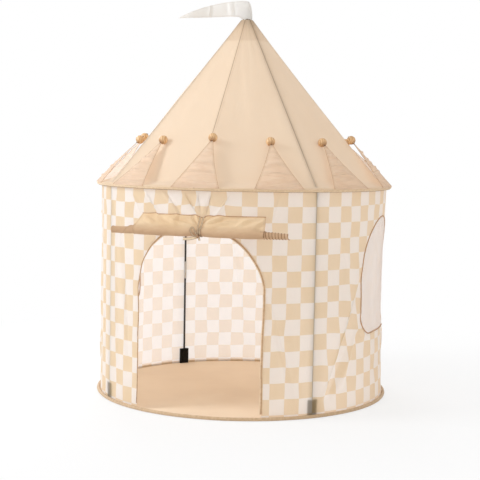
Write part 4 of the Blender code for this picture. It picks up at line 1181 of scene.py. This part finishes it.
def wound_row(turn, part, start):
    """One row of the wound cloth, from the front of the roll down under it and on to its core."""
    loose = min(turn / LOOSE_TURNS, 1.0)
    tight = max(turn - LOOSE_TURNS, 0.0) / TIGHT_TURNS
    radius = ROLL_RADIUS - (ROLL_RADIUS - CORE_RADIUS) * loose - CORE_TIGHTENING * tight
    left = WEB_LEFT - (WEB_LEFT - ROLL_LOW.x - 0.002) * smooth((turn - 0.5) / 1.6)
    right = WEB_RIGHT + (ROLL_HIGH.x - 0.002 - WEB_RIGHT) * tight
    across = left + (right - left) * part
    radius = radius - (radius - CORE_RADIUS) * smooth((part - 0.90) / 0.10) * (1 - loose)
    tied = np.exp(-((across - TIE_PLACE) / 0.020) ** 2)
    waved = 0.0011 * ripple(across + 0.02 * math.sin(2 * math.pi * turn), 0.0, 0.075, 73)
    girth = radius * (1 - 0.14 * tied) + waved * (1 - tight)
    sunk = 0.6 * (ROLL_RADIUS - radius) + 0.0012 * ripple(across, 0.0, 0.22, 77)
    swing = start - 2 * math.pi * turn
    return np.stack([across, ROLL_CENTRE[0] - girth * np.cos(swing),
                     ROLL_CENTRE[1] - sunk + girth * np.sin(swing)], -1)


def build_curtain():
    """Door curtain: the strip under its seam runs on into the wound roll, with its bound edges."""
    part = np.linspace(0, 1, CURTAIN_COLUMNS)
    header = HEADER[0] + (HEADER[1] - HEADER[0]) * part
    top = wall_place(header, np.full_like(header, CURTAIN_HEIGHT), 0.0012)
    top[:, 2] -= 0.006 * np.exp(-((top[:, 0] - TIE_PLACE) / 0.012) ** 2)
    ahead, over = ROLL_CENTRE[0] - top[:, 1], top[:, 2] - ROLL_CENTRE[1]
    start = np.arctan2(over, ahead) - np.arccos(ROLL_RADIUS / np.hypot(ahead, over))
    turns = LOOSE_TURNS + TIGHT_TURNS
    wound = [wound_row(turn, part, start) for turn in np.linspace(0, turns, int(turns * TURN_ROWS) + 1)]
    rows = [hanging_row(step / HANG_ROWS, top, wound[0], start) for step in range(HANG_ROWS)] + wound
    points = np.array(rows)
    steps = np.linalg.norm(np.diff(points[:, CURTAIN_COLUMNS // 2], axis=0), axis=1)
    along = np.concatenate([[0.0], np.cumsum(steps)])[:, None]
    edge = np.minimum(points[..., 0] - points[:, :1, 0], points[:, -1:, 0] - points[..., 0])
    curtain = grid_piece("door_curtain_cloth", points, CURTAIN_CLOTH, (points[..., 0], along), (edge, edge),
                         flip=True)
    dress_sewn(curtain, "door_curtain")
    first_turn = HANG_ROWS + TURN_ROWS
    aside, upwards = (1.0, 0.0, 0.0), (0.0, 0.0, 1.0)
    bound = [tube(name, path, radius, look, sides=8, reference=facing) for name, path, radius, look, facing in (
        ("curtain_binding_left", points[HANG_ROWS:, 0], 0.0009, EDGE_CLOTH, aside),
        ("curtain_binding_right", points[first_turn:, -1], 0.0010, WOUND_CLOTH, aside),
        ("curtain_header", top + np.array([0.0, -0.0006, 0.0]), 0.0014, PIPING_CLOTH, upwards),
        ("curtain_side", points[:first_turn + 1, -1], 0.0009, EDGE_CLOTH, aside))]
    for piece in bound[:2]:
        dress(piece, "door_roll", "door_curtain")
    for piece in bound[2:]:
        dress_sewn(piece, "door_curtain")
    bound += build_tie()


def ribbon(name, path, width, face):
    """Flat tape along a path, with its width across the direction it faces."""
    path = np.asarray(path, float)
    ahead = np.vstack([path[1:], path[-1:]]) - np.vstack([path[:1], path[:-1]])
    ahead /= np.linalg.norm(ahead, axis=1)[:, None]
    face = np.broadcast_to(np.asarray(face, float), path.shape)
    side = np.cross(ahead, face)
    side /= np.linalg.norm(side, axis=1)[:, None]
    steps = np.concatenate([[0.0], np.cumsum(np.linalg.norm(np.diff(path, axis=0), axis=1))])[:, None]
    part = np.linspace(-0.5, 0.5, 5)[None]
    bow = 0.10 * width * (1 - (2 * part) ** 2)
    normal = np.cross(side, ahead)
    points = path[:, None] + side[:, None] * (part * width)[..., None] - normal[:, None] * bow[..., None]
    edge = width / 2 - np.abs(part * width)
    piece = grid_piece(name, points, RIBBON_CLOTH, (part * width, steps), (edge, edge))
    thick = piece.modifiers.new("thickness", "SOLIDIFY")
    thick.thickness = 0.0006
    thick.offset = 0.0
    if name.startswith("tie_strand"):
        return dress_sewn(piece, "door_tie")
    return dress(piece, "door_roll", "door_tie")


def curve(points, count=24):
    """Smooth path through a few points."""
    points = np.asarray(points, float)
    padded = np.vstack([2 * points[0] - points[1], points, 2 * points[-1] - points[-2]])
    path = []
    for index in range(len(points) - 1):
        before, start, end, after = padded[index:index + 4]
        for share in np.linspace(0, 1, count // (len(points) - 1) + 2)[:-1]:
            path.append(0.5 * ((2 * start) + (end - before) * share
                               + (2 * before - 5 * start + 4 * end - after) * share ** 2
                               + (3 * start - before - 3 * end + after) * share ** 3))
    path.append(points[-1])
    return np.array(path)


def build_tie():
    """Ribbon round the roll: two strands down the front, a knot under the roll, a loop and two tails."""
    pieces = []
    depth, level = ROLL_CENTRE
    girth = ROLL_RADIUS * 0.90 + 0.0012
    for number, place in enumerate((TIE_PLACE - 0.005, TIE_PLACE + 0.006)):
        path = [(place, -WALL_OUTER - 0.0050, CURTAIN_HEIGHT - 0.004),
                (place, depth - girth * 0.50, level + girth * 0.98)]
        for turn in np.linspace(2.45, 2 * math.pi + 0.5, 16):
            path.append((place + 0.004 * (0.5 - number) * math.sin(turn / 2), depth + girth * math.cos(turn),
                         level + girth * math.sin(turn)))
        path = curve(path, 60)
        face = np.stack([0 * path[:, 0], path[:, 1] - depth, path[:, 2] - level], -1)
        pieces.append(ribbon(f"tie_strand_{number + 1}", path, 0.0050, face))
    knot = np.array([TIE_PLACE - 0.001, depth - ROLL_RADIUS * 0.80, level - ROLL_RADIUS * 0.82])
    loop = [(0, 0, 0), (-0.006, -0.005, 0.008), (-0.014, -0.007, 0.026), (-0.022, -0.006, 0.030),
            (-0.026, -0.006, 0.018), (-0.016, -0.006, 0.003), (0.001, -0.003, 0.001)]
    pieces.append(ribbon("tie_bow", curve(knot + np.array(loop), 60), 0.0045, (0.25, -1.0, 0.1)))
    long_tail = [(0, 0, 0), (-0.012, -0.006, -0.004), (-0.030, -0.008, -0.008), (-0.052, -0.006, -0.009)]
    short_tail = [(0, 0, 0), (0.003, -0.006, -0.004), (0.006, -0.007, -0.009), (0.007, -0.006, -0.013)]
    for name, tail, width, face in (("tie_tail_1", long_tail, 0.0095, (0.1, -0.95, 0.3)),
                                    ("tie_tail_2", short_tail, 0.0060, (0.1, -0.9, 0.4))):
        pieces.append(ribbon(name, curve(knot + np.array(tail), 30), width, face))
    turn = np.linspace(0, 3.6 * math.pi, 44)
    path = np.stack([knot[0] + 0.0038 * np.cos(turn), knot[1] - 0.0030 + 0.0038 * np.sin(turn),
                     knot[2] + np.linspace(-0.0042, 0.0042, 44)], -1)
    wrapped = tube("tie_knot", path, 0.0025, PIPING_CLOTH, sides=10, squeeze=0.7)
    pieces.append(dress(wrapped, "door_roll", "door_tie"))
    return pieces


# Pennant


def build_pennant():
    """Pennant: one long piece of cloth folded round the peg, its two layers sewn along the top."""
    low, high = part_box("pennant")
    foot, peak = low.z, high.z
    heading = math.radians(-72.0)
    ahead = polar(1.0, heading, 0.0)
    side = polar(1.0, heading + QUARTER, 0.0)
    length, hood = 0.257, 0.0195
    columns = 181
    part = np.linspace(-1, 1, columns)[None]
    rise = np.linspace(0, 1, 20)[:, None]
    wrap = 0.16
    outer = np.clip((np.abs(part) - wrap) / (1 - wrap), 0, 1)
    turn = np.clip(part / wrap, -1, 1) * QUARTER
    distance = outer * length
    share = distance / length
    middle = APEX_HEIGHT + 0.0425 - 0.039 * share ** 1.9
    tall = 0.056 * (1 - (share / 1.005) ** 2.3) + 0.001
    joined = smooth((distance - 0.010) / 0.026)
    bottom = foot * (1 - joined) + (middle - tall / 2) * joined
    crest = middle + tall / 2
    crest = np.where(outer > 0, crest, peak - 0.001)
    height = bottom + (crest - bottom) * rise
    over_foot = (height - foot) / (peak - foot)
    girth = hood * np.sqrt(np.clip(1 - np.clip(over_foot, 0, 1) ** 2.4, 0.0025, 1))
    near = 1 - smooth(distance / 0.09)
    lateral = np.sin(turn) * girth * (0.16 + 0.84 * near) * (1 - rise ** 4 * (1 - near)) * (1 - share ** 3)
    draw_in = np.where(np.abs(part) < wrap, -np.cos(turn) * girth, 0.0)
    sway = 0.006 * np.sin(3 * math.pi * share) * share ** 0.5
    folds = (-0.0040 * crease(distance, height - middle, (0.136, -0.03), (0.130, 0.03), 0.004, 1.0)
             + 0.0035 * crease(distance, height - middle, (0.062, -0.03), (0.068, 0.03), 0.006, 1.0)
             - 0.0030 * crease(distance, height - middle, (0.044, -0.03), (0.050, 0.03), 0.005, 1.0))
    ripples = 0.0012 * ripple(distance, height * 0.4, 0.07, 81, 2) * smooth(distance / 0.02)
    lateral = lateral + sway + folds + ripples + 0.0012 * np.sign(part)
    points = (np.array([0, 0, 1.0]) * height[..., None] + ahead * (distance + draw_in)[..., None]
              + side * lateral[..., None])
    run = np.sign(part) * distance + 0.03 * part
    edge = np.minimum(height - bottom, crest - height)
    pennant = grid_piece("pennant_cloth", points, PENNANT_CLOTH, (run, height), (edge, edge))
    dress(pennant, "pennant", "pennant")


# Stage, light and camera


STAGE_REACH, STAGE_DROP = 9.0, 0.0005
SKY = 0.63


def build_stage():
    """Pale floor that keeps the shadow, and a white background."""
    mesh = bpy.data.meshes.new("ground")
    corners = [(STAGE_REACH * across, STAGE_REACH * along, 0)
               for across, along in ((-1, -1), (1, -1), (1, 1), (-1, 1))]
    mesh.from_pydata(corners, [], [(0, 1, 2, 3)])
    ground = bpy.data.objects.new("ground", mesh)
    ground.location.z = -STAGE_DROP
    bpy.context.scene.collection.objects.link(ground)
    look = Look("ground")
    glow = look.node("Emission")
    glow.inputs["Color"].default_value = (1, 1, 1, 1)
    matte = look.principled(rgb(246, 244, 242), 0.9)
    span = look.node("VectorMath", operation="LENGTH")
    look.put(span.inputs[0], look.own_place())
    white = look.fade(span.outputs["Value"], 0.7, 1.9, 0.72, 1.0)
    shown = look.blend(look.math("MULTIPLY", look.seen_straight(), white), matte, glow.outputs[0])
    mesh.materials.append(look.done(shown))

    studio = Look("studio", bpy.data.worlds)
    backdrop = studio.node("Background")
    backdrop.inputs["Color"].default_value = (1, 1, 1, 1)
    studio.put(backdrop.inputs["Strength"], studio.fade(studio.seen_straight(), 0.0, 1.0, SKY, 1.0))
    bpy.context.scene.world = studio.done(backdrop.outputs[0], "OutputWorld")


DAYLIGHT = (0.91, 0.965, 1.04)
LAMP_AIM = Vector((0, 0, 0.7))
LAMPS = (             # name, place, size and power
    ("key", (-3.9, -2.4, 3.2), 2.2, 143.0),
    ("behind", (-2.2, 3.8, 2.6), 3.2, 90.0),
    ("fill", (3.6, -2.8, 1.8), 3.0, 26.0),
)


def build_lamps():
    """Soft key from the upper left front, a broad light behind the cloth and a faint fill."""
    for name, place, size, power in LAMPS:
        data = bpy.data.lights.new(name, "AREA")
        data.shape = "DISK"
        data.size = size
        data.energy = power
        data.color = DAYLIGHT if name != "fill" else (1.0, 0.95, 0.86)
        lamp = bpy.data.objects.new(name, data)
        lamp.location = place
        lamp.rotation_euler = (LAMP_AIM - Vector(place)).to_track_quat("-Z", "Y").to_euler()
        bpy.context.scene.collection.objects.link(lamp)


CAMERA_FAR = 4.379
CAMERA_TURN = math.radians(17.6)
CAMERA_HEIGHT = 0.937
CAMERA_YAW = math.radians(0.16)
CAMERA_DIP = math.radians(4.79)
CAMERA_ROLL = math.radians(1.0)
PHOTO_WIDTH = 480
CAMERA_FOCUS = 1152.3           # focal length in pixels of the photograph
SENSOR_WIDTH = 36.0


def build_camera():
    """Camera at the photograph's viewing angle, found from the tent's rings and poles."""
    data = bpy.data.cameras.new("camera")
    data.sensor_width = SENSOR_WIDTH
    data.lens = CAMERA_FOCUS * SENSOR_WIDTH / PHOTO_WIDTH
    camera = bpy.data.objects.new("camera", data)
    turn = CAMERA_TURN + CAMERA_YAW
    forward = Vector((-math.sin(turn) * math.cos(CAMERA_DIP), math.cos(turn) * math.cos(CAMERA_DIP),
                      -math.sin(CAMERA_DIP)))
    right = forward.cross(Vector((0, 0, 1))).normalized()
    up = right.cross(forward)
    leaned = right * math.cos(CAMERA_ROLL) + up * math.sin(CAMERA_ROLL)
    up = up * math.cos(CAMERA_ROLL) - right * math.sin(CAMERA_ROLL)
    axes = Matrix((leaned, up, -forward)).transposed()
    place = (CAMERA_FAR * math.sin(CAMERA_TURN), -CAMERA_FAR * math.cos(CAMERA_TURN), CAMERA_HEIGHT)
    camera.matrix_world = Matrix.Translation(place) @ axes.to_4x4()
    bpy.context.scene.collection.objects.link(camera)
    bpy.context.scene.camera = camera


build_camera()
build_lamps()
build_stage()
build_walls()
build_floor()
build_roof()
build_frame()
build_crown()
build_curtain()
build_pennant()
bpy.context.scene.view_settings.view_transform = "Standard"
